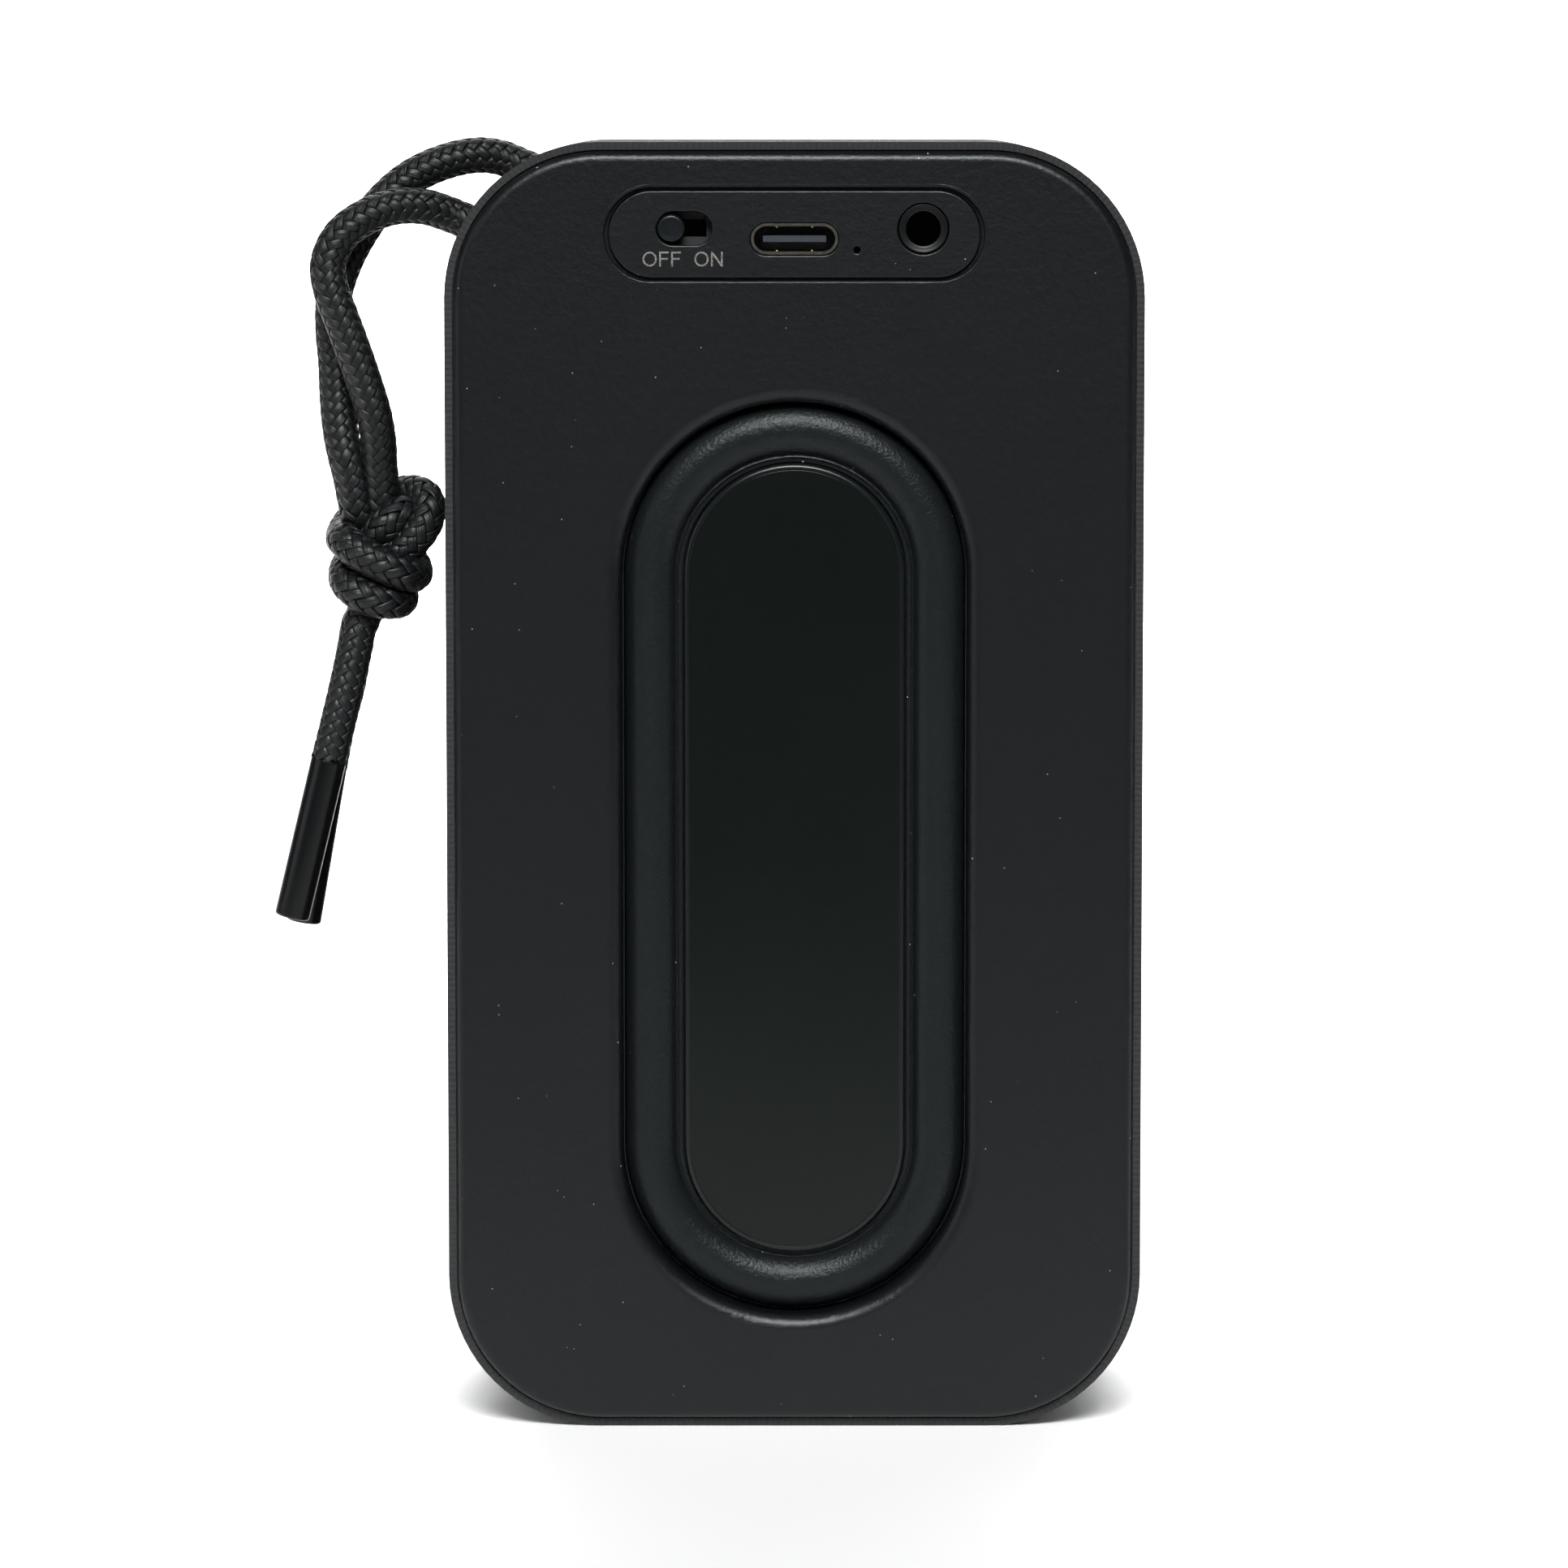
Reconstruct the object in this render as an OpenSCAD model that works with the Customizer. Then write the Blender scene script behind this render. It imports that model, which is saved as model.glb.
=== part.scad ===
// Battery loudspeaker for a bathroom: a cloth-wrapped housing that stands on its short end,
// with a racetrack passive radiator and a port panel in its rear cover, three keys in front,
// and a doubled braided cord that hangs from one upper corner.
// Origin: middle of the bottom face. +Z is up, the rear cover faces -Y, the front faces +Y.

/* [Body] */
// Width over the cloth
body_w = 72; // [70:0.5:80]
// Height over the cloth, standing on the short end
body_h = 133.5; // [132:0.5:145]
// Depth from the rear cover to the cloth in front
body_d = 40; // [38:0.5:46]
// Corner radius seen from the rear
corner_r = 16; // [14:0.5:18]
// Rounding of the front edge
front_round = 4; // [3.5:0.1:5]
// Thickness of the cloth with its backing
wrap_t = 0.8; // [0.6:0.05:1]
// Wall thickness of the housing
wall = 2; // [1.6:0.1:2.4]
// Thickness of the perforated front panel
grille_t = 1.6; // [1.2:0.1:2]
// Diameter of one perforation
grille_hole_d = 2.4; // [1.6:0.1:2.8]
// Distance between perforations
grille_pitch = 4.4; // [3.6:0.1:6]
// Thickness of the baffle that carries the driver
baffle_t = 2; // [1.6:0.1:2.6]
// Space between the baffle and the front panel
front_gap = 5.1; // [5:0.1:6]

/* [Rear cover] */
// Thickness of the rear cover
cover_t = 2; // [1.9:0.1:2.6]
// How far the cover stands out of the cloth edge
cover_proud = 1.2; // [0.6:0.1:1.6]
// Seam between the cover and the cloth
cover_gap = 0.15; // [0.1:0.05:0.3]
// Rounding of the cover's outer edge
cover_round = 1; // [0.4:0.1:1.4]
// Depth of the lip that centres the cover in the housing
cover_lip_h = 1.5; // [1:0.1:2.5]
// Diameter of the cover's screw bosses
boss_d = 6; // [5.4:0.1:6.4]
// Diameter of the case screws
case_screw_d = 2.3; // [2:0.1:2.6]
// Head diameter of the case screws
case_head_d = 4.2; // [3.8:0.1:4.4]

/* [Passive radiator] */
// Distance of the radiator's centre below the body's middle
radiator_drop = 7.35; // [5:0.05:7.5]
// Width of the opening in the cover
opening_w = 35.6; // [34:0.2:36]
// Height of the opening in the cover
opening_h = 95; // [85:0.5:96]
// Rounding of the opening's edge
lip_round = 1.6; // [0.8:0.1:1.8]
// Gap between the opening and the half roll
roll_gap = 1.25; // [1:0.05:1.5]
// Width of the rubber half roll
roll_w = 4.85; // [4:0.05:5]
// Thickness of the rubber
rubber_t = 0.6; // [0.4:0.05:0.8]
// Thickness of the radiator plate
plate_t = 2.1; // [1.2:0.1:2.2]
// Bevel around the plate
plate_bevel = 0.55; // [0.3:0.05:0.8]
// Gap between the half roll and the plate at its sides
plate_gap_side = 0.35; // [0.3:0.05:0.8]
// Gap between the half roll and the plate at its ends
plate_gap_end = 0.95; // [0.3:0.05:1.2]
// Thickness of the steel weight behind the plate
weight_t = 1.5; // [1:0.1:2.5]

/* [Port panel] */
// Width of the port panel
panel_w = 39; // [38:0.5:40]
// Height of the port panel
panel_h = 9.55; // [9.4:0.05:10.5]
// Distance of the panel's centre below the top
panel_drop = 9.4; // [9:0.1:10]
// Thickness of the port panel
panel_t = 1.2; // [1:0.1:1.4]
// Gap around the port panel
panel_gap = 0.12; // [0.05:0.01:0.2]
// Width of the USB shell
usb_w = 8.94; // [8.9:0.01:9]
// Height of the USB shell
usb_h = 3.2; // [3.1:0.02:3.3]
// Depth of the USB shell
usb_l = 7.3; // [6.5:0.1:9]
// Sideways place of the audio socket
aux_x = 13.2; // [12.8:0.1:13.4]
// Bore of the audio socket
aux_bore_d = 3.6; // [3.5:0.05:3.7]
// Outside of the audio socket's neck
aux_neck_d = 5; // [4.8:0.1:5.2]
// Length of the audio socket's bore
aux_bore_l = 12.8; // [12:0.1:14]
// Sideways place of the power switch
switch_x = -11.3; // [-11.6:0.1:-11]
// Width of the switch slot
slot_w = 5.7; // [5.5:0.1:6]
// Height of the switch slot
slot_h = 3.46; // [3.4:0.02:3.8]
// Diameter of the switch knob
knob_d = 2.86; // [2.4:0.02:3]
// Sideways place of the microphone hole
mic_x = 6.4; // [6.2:0.1:7.5]
// Diameter of the microphone hole
mic_hole_d = 0.67; // [0.5:0.01:1]

/* [Keys] */
// Diameter of a key
key_d = 6.4; // [5.6:0.1:6.8]
// Distance between keys
key_pitch = 11.5; // [10.5:0.1:12]
// Travel of a key
key_travel = 0.8; // [0.4:0.1:0.9]

/* [Driver] */
// Distance of the driver's centre below the top
driver_drop = 86.5; // [86:0.5:90]
// Diameter of the driver's flange
driver_d = 50; // [48:0.5:51]
// Diameter of the cone at its outer edge
cone_d = 38; // [36:0.5:38]
// Diameter of the voice coil former
former_d = 13.9; // [13.9:0.1:15]
// Diameter of the ring magnet
magnet_d = 30; // [28:0.5:34]
// Thickness of the ring magnet
magnet_t = 5; // [5:0.5:7]

/* [Battery and boards] */
// Width of the battery cell
cell_w = 50; // [40:1:51]
// Height of the battery cell
cell_h = 34; // [30:1:34]
// Thickness of the battery cell
cell_t = 10; // [8:0.5:11]
// Thickness of the circuit boards
board_t = 1.2; // [0.8:0.1:1.6]

/* [Cord] */
// Diameter of the braided cord
cord_d = 4; // [3.6:0.1:4.1]
// Diameter of the pin that the cord loops round
pin_d = 3; // [2.5:0.1:3]
// Outside diameter of the aglets
aglet_d = 3.7; // [3.4:0.1:4]

/* [Hidden] */
$fn = 64;

// Depth planes, from the rear to the front
y_rear = -body_d / 2;
y_front = body_d / 2;
y_rim = y_rear + cover_proud;
y_seat = y_rear + cover_t;
y_panel = y_rear + panel_t;
y_grille_f = y_front - wrap_t;
y_grille_b = y_grille_f - grille_t;
y_baffle_f = y_grille_b - front_gap;
y_baffle_b = y_baffle_f - baffle_t;
grille_round = front_round - wrap_t;
y_tray = y_grille_f - grille_round;
mid_z = body_h / 2;
over = 1;
root_lap = 0.5;

// Sizes of the housing and the cover
case_w = body_w - 2 * wrap_t;
case_h = body_h - 2 * wrap_t;
case_r = corner_r - wrap_t;
in_w = case_w - 2 * wall;
in_h = case_h - 2 * wall;
in_r = case_r - wall;
cover_w = case_w - 2 * cover_gap;
cover_h = case_h - 2 * cover_gap;
cover_r = case_r - cover_gap;
lip_fit = 0.15;
cover_lip_t = 1.2;
perf_edge = 2;
seal_w = wall / 2;
seal_t = 0.8;
groove_fit = 0.05;
seal_inset = (wall - seal_w) / 2;

// Case screws, driven from the front into the cover's bosses
boss_reach = 11.8;
y_boss_split = y_rear + boss_reach;
boss_fit = 0.3;
boss_floor = 2;
head_fit = 0.2;
shank_fit = 0.05;
case_head_t = 1.6;
case_screw_l = 8;
boss_wall = 0.7;
boss_cut = 0.5;
cross_w = 2.4;
cross_t = 0.6;
cross_deep = 0.7;
boss_side_x = in_w / 2 - boss_d / 2 - boss_wall;
boss_end_in = 9;
boss_end_x = body_w / 2 - boss_end_in;
boss_low_z = 10.5;
boss_mid_drop = 4.75;
boss_top_drop = 25.5;
boss_mid_z = mid_z - boss_mid_drop;
boss_top_z = body_h - boss_top_drop;
boss_places = [[-boss_end_x, boss_low_z], [boss_end_x, boss_low_z], [-boss_side_x, boss_mid_z],
    [boss_side_x, boss_mid_z], [-boss_side_x, boss_top_z], [boss_side_x, boss_top_z]];

// Passive radiator
radiator_z = mid_z - radiator_drop;
flange_drop = 3.3;
y_flange = y_rear + flange_drop;
y_frame = y_flange + rubber_t;
frame_t = 1.4;
frame_land = 0.6;
boss_ring = 2;
roll_out_w = opening_w - 2 * roll_gap;
roll_out_h = opening_h - 2 * roll_gap;
roll_in_w = roll_out_w - 2 * roll_w;
roll_in_h = roll_out_h - 2 * roll_w;
plate_w = roll_in_w - 2 * plate_gap_side;
plate_h = roll_in_h - 2 * plate_gap_end;
flange_in = 1.6;
flange_fit = 0.15;
weight_edge = 2.8;

// Port panel and what sits behind it
panel_z = body_h - panel_drop;
panel_ledge = 1.2;
usb_z = panel_z - 0.48;
usb_wall = 0.3;
usb_fit = 0.1;
usb_set_back = 0.1;
usb_back_t = 0.8;
tongue_w = 6.48;
tongue_t = 0.66;
tongue_set_back = 0.9;
tongue_base = 1.4;
tongue_fit = 0.05;
aux_z = panel_z + 0.56;
aux_fit = 0.15;
aux_set_back = 0.15;
aux_body_w = 6;
aux_end = 1;
switch_z = panel_z + 0.6;
knob_fit = 0.06;
knob_set_back = 0.05;
knob_x = switch_x - slot_w / 2 + knob_d / 2 + knob_fit;
knob_travel = slot_w - knob_d - 2 * knob_fit;
knob_bevel = 0.25;
stem_w = 1.2;
slide_fit = 0.3;
carriage_w = 2.6;
carriage_h = 2;
carriage_l = 2;
switch_wall = 0.8;
switch_l = 4.5;
mic_z = panel_z - 1.6;
mic_box = [3, 2.4, 1.9];
mic_gap = 0.2;
board_top = usb_z - usb_h / 2;
y_board = y_seat + 0.3;
link_w = 16;
link_t = 2;
link_lap = 5;

// Keys and the boards behind them
key_fit = 0.2;
key_set_back = 0.2;
key_flange = 1;
key_flange_t = 1;
key_stem_d = 3;
key_places = [-key_pitch, 0, key_pitch];
mat_t = 0.6;
mat_dome = 0.2;
mat_dome_edge = 0.5;
mat_edge = 2;
mat_rim = 1.2;
key_gap = 0.3;
key_rest = 0.1;
y_key_flange = y_grille_b - key_gap;
y_key_stem = y_baffle_f + mat_t + mat_dome + key_travel + key_rest;
key_window_d = 7;
board_gap = 1.8;
y_main_f = y_baffle_b - board_gap;
y_main_b = y_main_f - board_t;
board_end_gap = 3;
y_board_end = y_main_b - board_end_gap;
main_w = 48;
main_h = 16.5;
main_z = panel_z - 2.9;
post_low_x = 21;
post_top_x = 19;
post_z = 5.7;
main_posts = [[-post_low_x, main_z - post_z], [post_low_x, main_z - post_z],
    [-post_top_x, main_z + post_z], [post_top_x, main_z + post_z]];
post_d = 4;
post_floor = 0.6;
screw_hole_fit = 0.2;
board_screw_d = 1.5;
board_head_d = 2.8;
board_head_t = 1;
tact = [4.5, 4.5, 1.6];
tact_stem_d = 2;
tact_gap = 0.3;
chip_drop = 5;
chip_z = main_z - chip_drop;
chip_big = [6, 5, 0.9];
chip_big_x = -6;
chip_small = [4, 4, 0.8];
chip_small_x = 5.5;
can_cap_d = 5;
can_cap_t = 2.6;
can_cap_x = [-12, 14];
crystal = [3, 2, 1];
crystal_x = [-10, 10];
radio = [12, 5, 1.6];

// Driver
gasket_t = 0.5;
y_drv = y_baffle_f + gasket_t;
drv_flange_t = 1;
drv_depth = 11;
y_top_plate = y_drv - drv_depth;
iron_t = 2;
y_magnet = y_top_plate - iron_t;
y_yoke = y_magnet - magnet_t;
basket_t = 0.8;
basket_foot_r = magnet_d / 2;
basket_rim = 3;
basket_r = driver_d / 2 - basket_rim;
basket_window = [9, 8, 3.6];
window_up = 5.2;
cone_t = 0.6;
former_r = former_d / 2;
former_t = 0.35;
former_l = 9.2;
former_drop = 4;
winding_t = 0.2;
winding_l = 4;
winding_drop = 3;
coil_gap = 0.55;
pole_gap = 0.4;
magnet_step = 1.5;
plate_step = 0.4;
yoke_step = 0.6;
neck_up = 5;
y_neck = y_top_plate + neck_up;
cone_glue = 0.05;
cone_seat = 0.8;
cap_r = 8;
cap_ball_r = 12;
cap_t = 0.5;
cap_up = 0.9;
spider_up = 3.2;
spider_t = 0.4;
spider_wave = 0.5;
drv_roll_w = 3;
drv_roll_t = 0.4;
drv_roll_gap = 0.3;
drv_land_in = 1.2;
drv_land_out = 1.4;
gasket_lip = 0.4;
ear_r = 3;
ear_out = 1.5;
ear_place = driver_d / 2 + ear_out;
drv_screw_d = 1.8;
drv_head_d = 3.6;
drv_head_t = 1.2;
tab_w = 9;
tab_h = 5;
tab_t = 1;
tab_up = 5;
tab_out = 2.8;
tab_hole_d = 0.9;
lead_x = 2;

// Battery above the driver
driver_z = body_h - driver_drop;
cell_gap = 0.5;
cell_z = driver_z + ear_place + ear_r + cell_gap + cell_h / 2;
cell_top = cell_z + cell_h / 2;
cell_edge_r = 3.5;
tape_edge = [6, 5];
tape_t = 0.2;
y_cell_f = y_baffle_b - tape_t;
y_cell_b = y_cell_f - cell_t;
lead_d = 1.2;
cell_lead_x = [-18, -16];
lead_drop = main_z - main_h / 2 - cell_top;

// Cord: where it leaves the corner, and the pin inside
exit_tilt = 158;
upper_deg = 123;
lower_deg = 151.5;
y_upper = -3;
y_lower = -8;
corner_x = -(body_w / 2 - corner_r);
corner_z = body_h - corner_r;
out_dir = [cos(exit_tilt), 0, sin(exit_tilt)];
side_dir = [sin(exit_tilt), 0, -cos(exit_tilt)];
upper_exit = [corner_x + corner_r * cos(upper_deg), y_upper, corner_z + corner_r * sin(upper_deg)];
lower_exit = [corner_x + corner_r * cos(lower_deg), y_lower, corner_z + corner_r * sin(lower_deg)];
exit_step = upper_exit - lower_exit;
bight_r = (exit_step * side_dir) / 2;
lower_in = 9;
upper_in = lower_in + exit_step * out_dir;
bight_mid = lower_exit - lower_in * out_dir + bight_r * side_dir;
eyelet_fit = 0.25;
eyelet_t = 0.6;
eyelet_play = 0.05;
eyelet_d = cord_d + 2 * (eyelet_fit + eyelet_t);
pocket_fit = 0.3;
pocket_t = 2.4;
pin_seat = 1.9;
pin_hole = 2;
pocket_y = [y_lower - cord_d / 2 - pocket_fit, y_upper + cord_d / 2 + pocket_fit];
pocket_in = 2.7;
pocket_low = 1.3;
pocket_x1 = corner_x + pocket_in;
pocket_z0 = corner_z - pocket_low;
pocket_open = 3;
eyelet_reach = 6;
board_side_gap = 0.5;
board_x0 = pocket_x1 + board_side_gap;
board_x1 = 20;

// Cord routes outside the body, points chosen along its middle line
upper_route = [upper_exit, upper_exit + 2 * out_dir, [-33, -3.6, 132], [-36.3, -4.2, 131.4],
    [-39.9, -5, 129.8], [-42.8, -5.6, 127.4], [-45.2, -6, 124.2], [-47, -6.4, 120.8],
    [-48.1, -6.8, 117.2], [-48.2, -7, 114], [-47.9, -7.5, 110.5], [-47.5, -8, 106],
    [-47.2, -8.6, 102.5], [-46.8, -9, 99], [-46.3, -9, 96.5]];
lower_route = [lower_exit, lower_exit + 2 * out_dir, [-38.5, -9, 126.7], [-41.5, -9.8, 126.7],
    [-44.7, -10.6, 125.6], [-47.2, -11, 123.6], [-48.4, -11.2, 120.8], [-48.1, -11.4, 118.2],
    [-47.2, -11.4, 115.7], [-46, -11.3, 112.4], [-44.7, -11, 108.8], [-43.8, -10.6, 104.9],
    [-43.2, -9.8, 101.5], [-43, -9.2, 98]];
front_route = [[-44.9, -10.4, 86], [-45.3, -10.7, 83.6], [-45.9, -11.2, 80.7], [-46.7, -11.8, 77],
    [-47.6, -12.1, 73.2], [-48.6, -12.2, 69.3]];
rear_route = [[-45.1, -6.6, 86], [-45.6, -6.8, 83.4], [-46.2, -7.1, 80.4], [-46.9, -7.5, 76.6],
    [-47.9, -7.8, 72.8], [-48.8, -7.9, 68.3]];
front_aglet = [[-48.6, -12.2, 69.3], [-52.6, -12.2, 52.7]];
rear_aglet = [[-48.8, -7.9, 68.3], [-51.7, -7.9, 51.7]];
knot_mid = [-42.9, -9, 91.1];
knot_lumps = [[[-1.5, 0, 4], [2.9, 0, 4.1], 3.2], [[-3.2, 0, 0.4], [2.3, 0, -1.6], 3],
    [[-3.2, 0, -3.2], [1.1, 0, -4.4], 2.9]];
knot_half = 2;
cord_sides = 10;

// ---- Shapes used by several pieces ----

// Racetrack outline, long side upright when h is larger
module racetrack(w, h) {
    r = min(w, h) / 2;
    dx = w / 2 - r;
    dy = h / 2 - r;
    if (dx > 0) square([2 * dx, h], center = true);
    if (dy > 0) square([w, 2 * dy], center = true);
    translate([-dx, -dy]) circle(r);
    translate([dx, dy]) circle(r);
}

// Rectangle with round corners
module round_rect(w, h, r) {
    square([w - 2 * r, h], center = true);
    square([w, h - 2 * r], center = true);
    for (sx = [-1, 1], sy = [-1, 1]) translate([sx * (w / 2 - r), sy * (h / 2 - r)]) circle(r);
}

// Extrudes an upright outline between two depths
module slab(y0, y1) {
    translate([0, y1, 0]) rotate([90, 0, 0]) linear_extrude(y1 - y0) children();
}

// Turns a flat piece so that its height points to the rear, or to the front
module toward_rear(y) {
    translate([0, y, 0]) rotate([90, 0, 0]) children();
}

module toward_front(y) {
    mirror([0, 1, 0]) toward_rear(-y) children();
}

// Profile of a plate's rounded rim: x outward, y up
module rim_profile(run, t, f) {
    square([run - f, t]);
    if (t > f) square([run, t - f]);
    translate([run - f, t - f]) intersection() {
        circle(f);
        square(f);
    }
}

// Plate with round corners whose upper edge is rounded too
module round_plate(w, h, r, t, f) {
    dx = w / 2 - r;
    dy = h / 2 - r;
    translate([-dx, -dy, 0]) cube([2 * dx, 2 * dy, t]);
    for (a = [0, 180]) rotate(a) {
        translate([dx, 0, 0]) rotate([90, 0, 0]) linear_extrude(2 * dy, center = true) {
            rim_profile(r, t, f);
        }
        translate([0, dy, 0]) rotate([90, 0, 90]) linear_extrude(2 * dx, center = true) {
            rim_profile(r, t, f);
        }
        translate([dx, dy, 0]) rotate_extrude(angle = 90) rim_profile(r, t, f);
    }
    for (a = [0, 180]) rotate(a) translate([-dx, dy, 0]) rotate(90) rotate_extrude(angle = 90) {
        rim_profile(r, t, f);
    }
}

// Sweeps a profile round a racetrack of width w: x is measured outward from its line
module racetrack_sweep(w, h) {
    run = h - w;
    for (a = [0, 180]) rotate(a) {
        translate([0, run / 2, 0]) rotate_extrude(angle = 180) translate([w / 2, 0]) children();
        rotate([90, 0, 0]) linear_extrude(run, center = true) translate([w / 2, 0]) children();
    }
}

// Turns about the driver's axis: a profile's y is the depth
module on_driver() {
    translate([0, 0, driver_z]) rotate([-90, 0, 0]) children();
}

module driver_ring() {
    on_driver() rotate_extrude() children();
}

// Rod along the depth
module rod(x, z, d, y0, y1) {
    translate([x, y0, z]) rotate([-90, 0, 0]) cylinder(d = d, h = y1 - y0);
}

// Box given by its middle in width and height, and its two depths
module box_at(x, z, w, h, y0, y1) {
    translate([x - w / 2, y0, z - h / 2]) cube([w, y1 - y0, h]);
}

// Tube swept along points, with flat ends
function unit(v) = v / norm(v);
function heading(p, i) = unit(p[min(i + 1, len(p) - 1)] - p[max(i - 1, 0)]);
function hoop(p, i, r, n, up) =
    let (t = heading(p, i), a = unit(cross(t, up)), b = cross(t, a))
    [for (k = [0:n - 1]) p[i] + r * (cos(360 * k / n) * a + sin(360 * k / n) * b)];

module tube(p, d, n, up = [0, 1, 0]) {
    m = len(p);
    polyhedron(
        points = [for (i = [0:m - 1]) each hoop(p, i, d / 2, n, up)],
        faces = concat(
            [[for (k = [0:n - 1]) k]],
            [for (i = [0:m - 2], k = [0:n - 1])
                [i * n + k, (i + 1) * n + k, (i + 1) * n + (k + 1) % n, i * n + (k + 1) % n]],
            [[for (k = [0:n - 1]) (m - 1) * n + n - 1 - k]]));
}

// Cylinder between two points
module bar(a, b, d) {
    v = b - a;
    translate(a) rotate([0, acos(v[2] / norm(v)), atan2(v[1], v[0])]) cylinder(d = d, h = norm(v));
}

// ---- Body ----

// Round bars along the cord's two ways out of the corner, from a distance short of its bight
module exit_bars(d, from_bight, reach_out) {
    bar(upper_exit - (upper_in - from_bight) * out_dir, upper_exit + reach_out * out_dir, d);
    bar(lower_exit - (lower_in - from_bight) * out_dir, lower_exit + reach_out * out_dir, d);
}

module body_form(inset, y0, y1, f) {
    toward_front(y0) translate([0, mid_z, 0]) {
        round_plate(body_w - 2 * inset, body_h - 2 * inset, corner_r - inset, y1 - y0, f);
    }
}

module fabric_wrap() {
    color("#1b1c1e") difference() {
        body_form(0, y_rim, y_front, front_round);
        body_form(wrap_t, y_rim - over, y_grille_f, grille_round);
        slab(y_grille_f - over, y_front + over) translate([0, panel_z]) {
            racetrack(panel_w + 2 * panel_gap, panel_h + 2 * panel_gap);
        }
        exit_bars(eyelet_d + 2 * eyelet_play, pocket_open, eyelet_reach);
    }
}

// Block in the upper corner that holds the cord's bight apart from the air inside
module corner_pocket() {
    intersection() {
        slab(pocket_y[0] - pocket_t, pocket_y[1] + pocket_t) translate([0, mid_z]) {
            round_rect(case_w, case_h, case_r);
        }
        translate([-body_w, -body_d, pocket_z0]) cube([body_w + pocket_x1, 2 * body_d, body_h]);
    }
}

module pocket_hollow() {
    hollow_r = bight_r + cord_d / 2 + pocket_fit;
    translate([bight_mid[0], pocket_y[0], bight_mid[2]]) rotate([0, -exit_tilt, 0]) {
        depth = pocket_y[1] - pocket_y[0];
        rotate([-90, 0, 0]) cylinder(r = hollow_r, h = depth);
        translate([0, 0, -hollow_r]) cube([pocket_open, depth, 2 * hollow_r]);
    }
}

module housing() {
    color("#202224") difference() {
        union() {
            difference() {
                slab(y_seat, y_tray) translate([0, mid_z]) round_rect(case_w, case_h, case_r);
                slab(y_seat - over, y_tray + over) translate([0, mid_z]) {
                    round_rect(in_w, in_h, in_r);
                }
            }
            slab(y_baffle_b, y_baffle_f) translate([0, mid_z]) {
                round_rect(case_w, case_h, case_r);
            }
            corner_pocket();
            for (p = boss_places) rod(p[0], p[1], boss_d, y_boss_split, y_baffle_f);
            for (p = main_posts) rod(p[0], p[1], post_d, y_main_f, y_baffle_f);
        }
        for (p = boss_places) {
            rod(p[0], p[1], case_head_d + 2 * head_fit, y_boss_split + boss_floor,
                y_baffle_f + over);
            rod(p[0], p[1], case_screw_d + 2 * shank_fit, y_boss_split - over, y_baffle_f);
        }
        for (p = main_posts) {
            rod(p[0], p[1], board_screw_d + 2 * shank_fit, y_main_f - over,
                y_baffle_f - post_floor);
        }
        for (x = key_places) {
            rod(x, panel_z, key_window_d, y_baffle_b - over, y_baffle_f + over);
        }
        rod(0, driver_z, 2 * (basket_r + gasket_lip), y_baffle_b - over, y_baffle_f + over);
        for (a = [45:90:315]) {
            rod(ear_place * cos(a), driver_z + ear_place * sin(a), drv_screw_d + 2 * shank_fit,
                y_baffle_b - over, y_baffle_f + over);
        }
        slab(y_seat - over, y_seat + seal_t) translate([0, mid_z]) difference() {
            inset = seal_inset - groove_fit;
            round_rect(case_w - 2 * inset, case_h - 2 * inset, case_r - inset);
            round_rect(in_w + 2 * inset, in_h + 2 * inset, in_r + inset);
        }
        pocket_hollow();
        exit_bars(eyelet_d + 2 * eyelet_play, pocket_open - root_lap, eyelet_reach);
        rod(bight_mid[0], bight_mid[2], pin_d + 2 * shank_fit, pocket_y[0] - pin_hole,
            pocket_y[1] + pin_hole);
    }
}

module front_grille() {
    hole_r = cone_d / 2 + perf_edge;
    row = grille_pitch * sqrt(3) / 2;
    color("#26282a") difference() {
        body_form(wrap_t, y_tray, y_grille_f, grille_round);
        slab(y_tray - over, y_grille_b) translate([0, mid_z]) round_rect(in_w, in_h, in_r);
        slab(y_grille_b - over, y_grille_f + over) {
            for (j = [-floor(hole_r / row):floor(hole_r / row)], i = [-8:8]) {
                x = (i + abs(j % 2) / 2) * grille_pitch;
                if (norm([x, j * row]) <= hole_r) {
                    translate([x, driver_z + j * row]) circle(d = grille_hole_d);
                }
            }
            for (x = key_places) translate([x, panel_z]) circle(d = key_d + 2 * key_fit);
        }
    }
}

module control_panel() {
    color("#18191b") difference() {
        slab(y_grille_f, y_front) translate([0, panel_z]) racetrack(panel_w, panel_h);
        for (x = key_places) {
            rod(x, panel_z, key_d + 2 * key_fit, y_grille_f - over, y_front + over);
        }
    }
}

// ---- Keys ----

module key(x) {
    color("#2b2d30") union() {
        rod(x, panel_z, key_d, y_key_flange, y_front - key_set_back);
        rod(x, panel_z, key_d + 2 * key_flange, y_key_flange - key_flange_t, y_key_flange);
        rod(x, panel_z, key_stem_d, y_key_stem, y_key_flange);
    }
}

module key_mat() {
    color("#3a3c3f") union() {
        slab(y_baffle_f, y_baffle_f + mat_t) translate([0, panel_z]) {
            racetrack(2 * key_pitch + key_window_d + 2 * mat_edge, key_window_d + 2 * mat_rim);
        }
        for (x = key_places) {
            rod(x, panel_z, key_stem_d + 2 * mat_dome_edge, y_baffle_f + mat_t,
                y_baffle_f + mat_t + mat_dome);
        }
    }
}

module tact_switches() {
    color("#b8b9bb") for (x = key_places) {
        box_at(x, panel_z, tact[0], tact[1], y_main_f, y_main_f + tact[2]);
        rod(x, panel_z, tact_stem_d, y_main_f + tact[2], y_baffle_f - tact_gap);
    }
}

// ---- Rear cover ----

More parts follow.
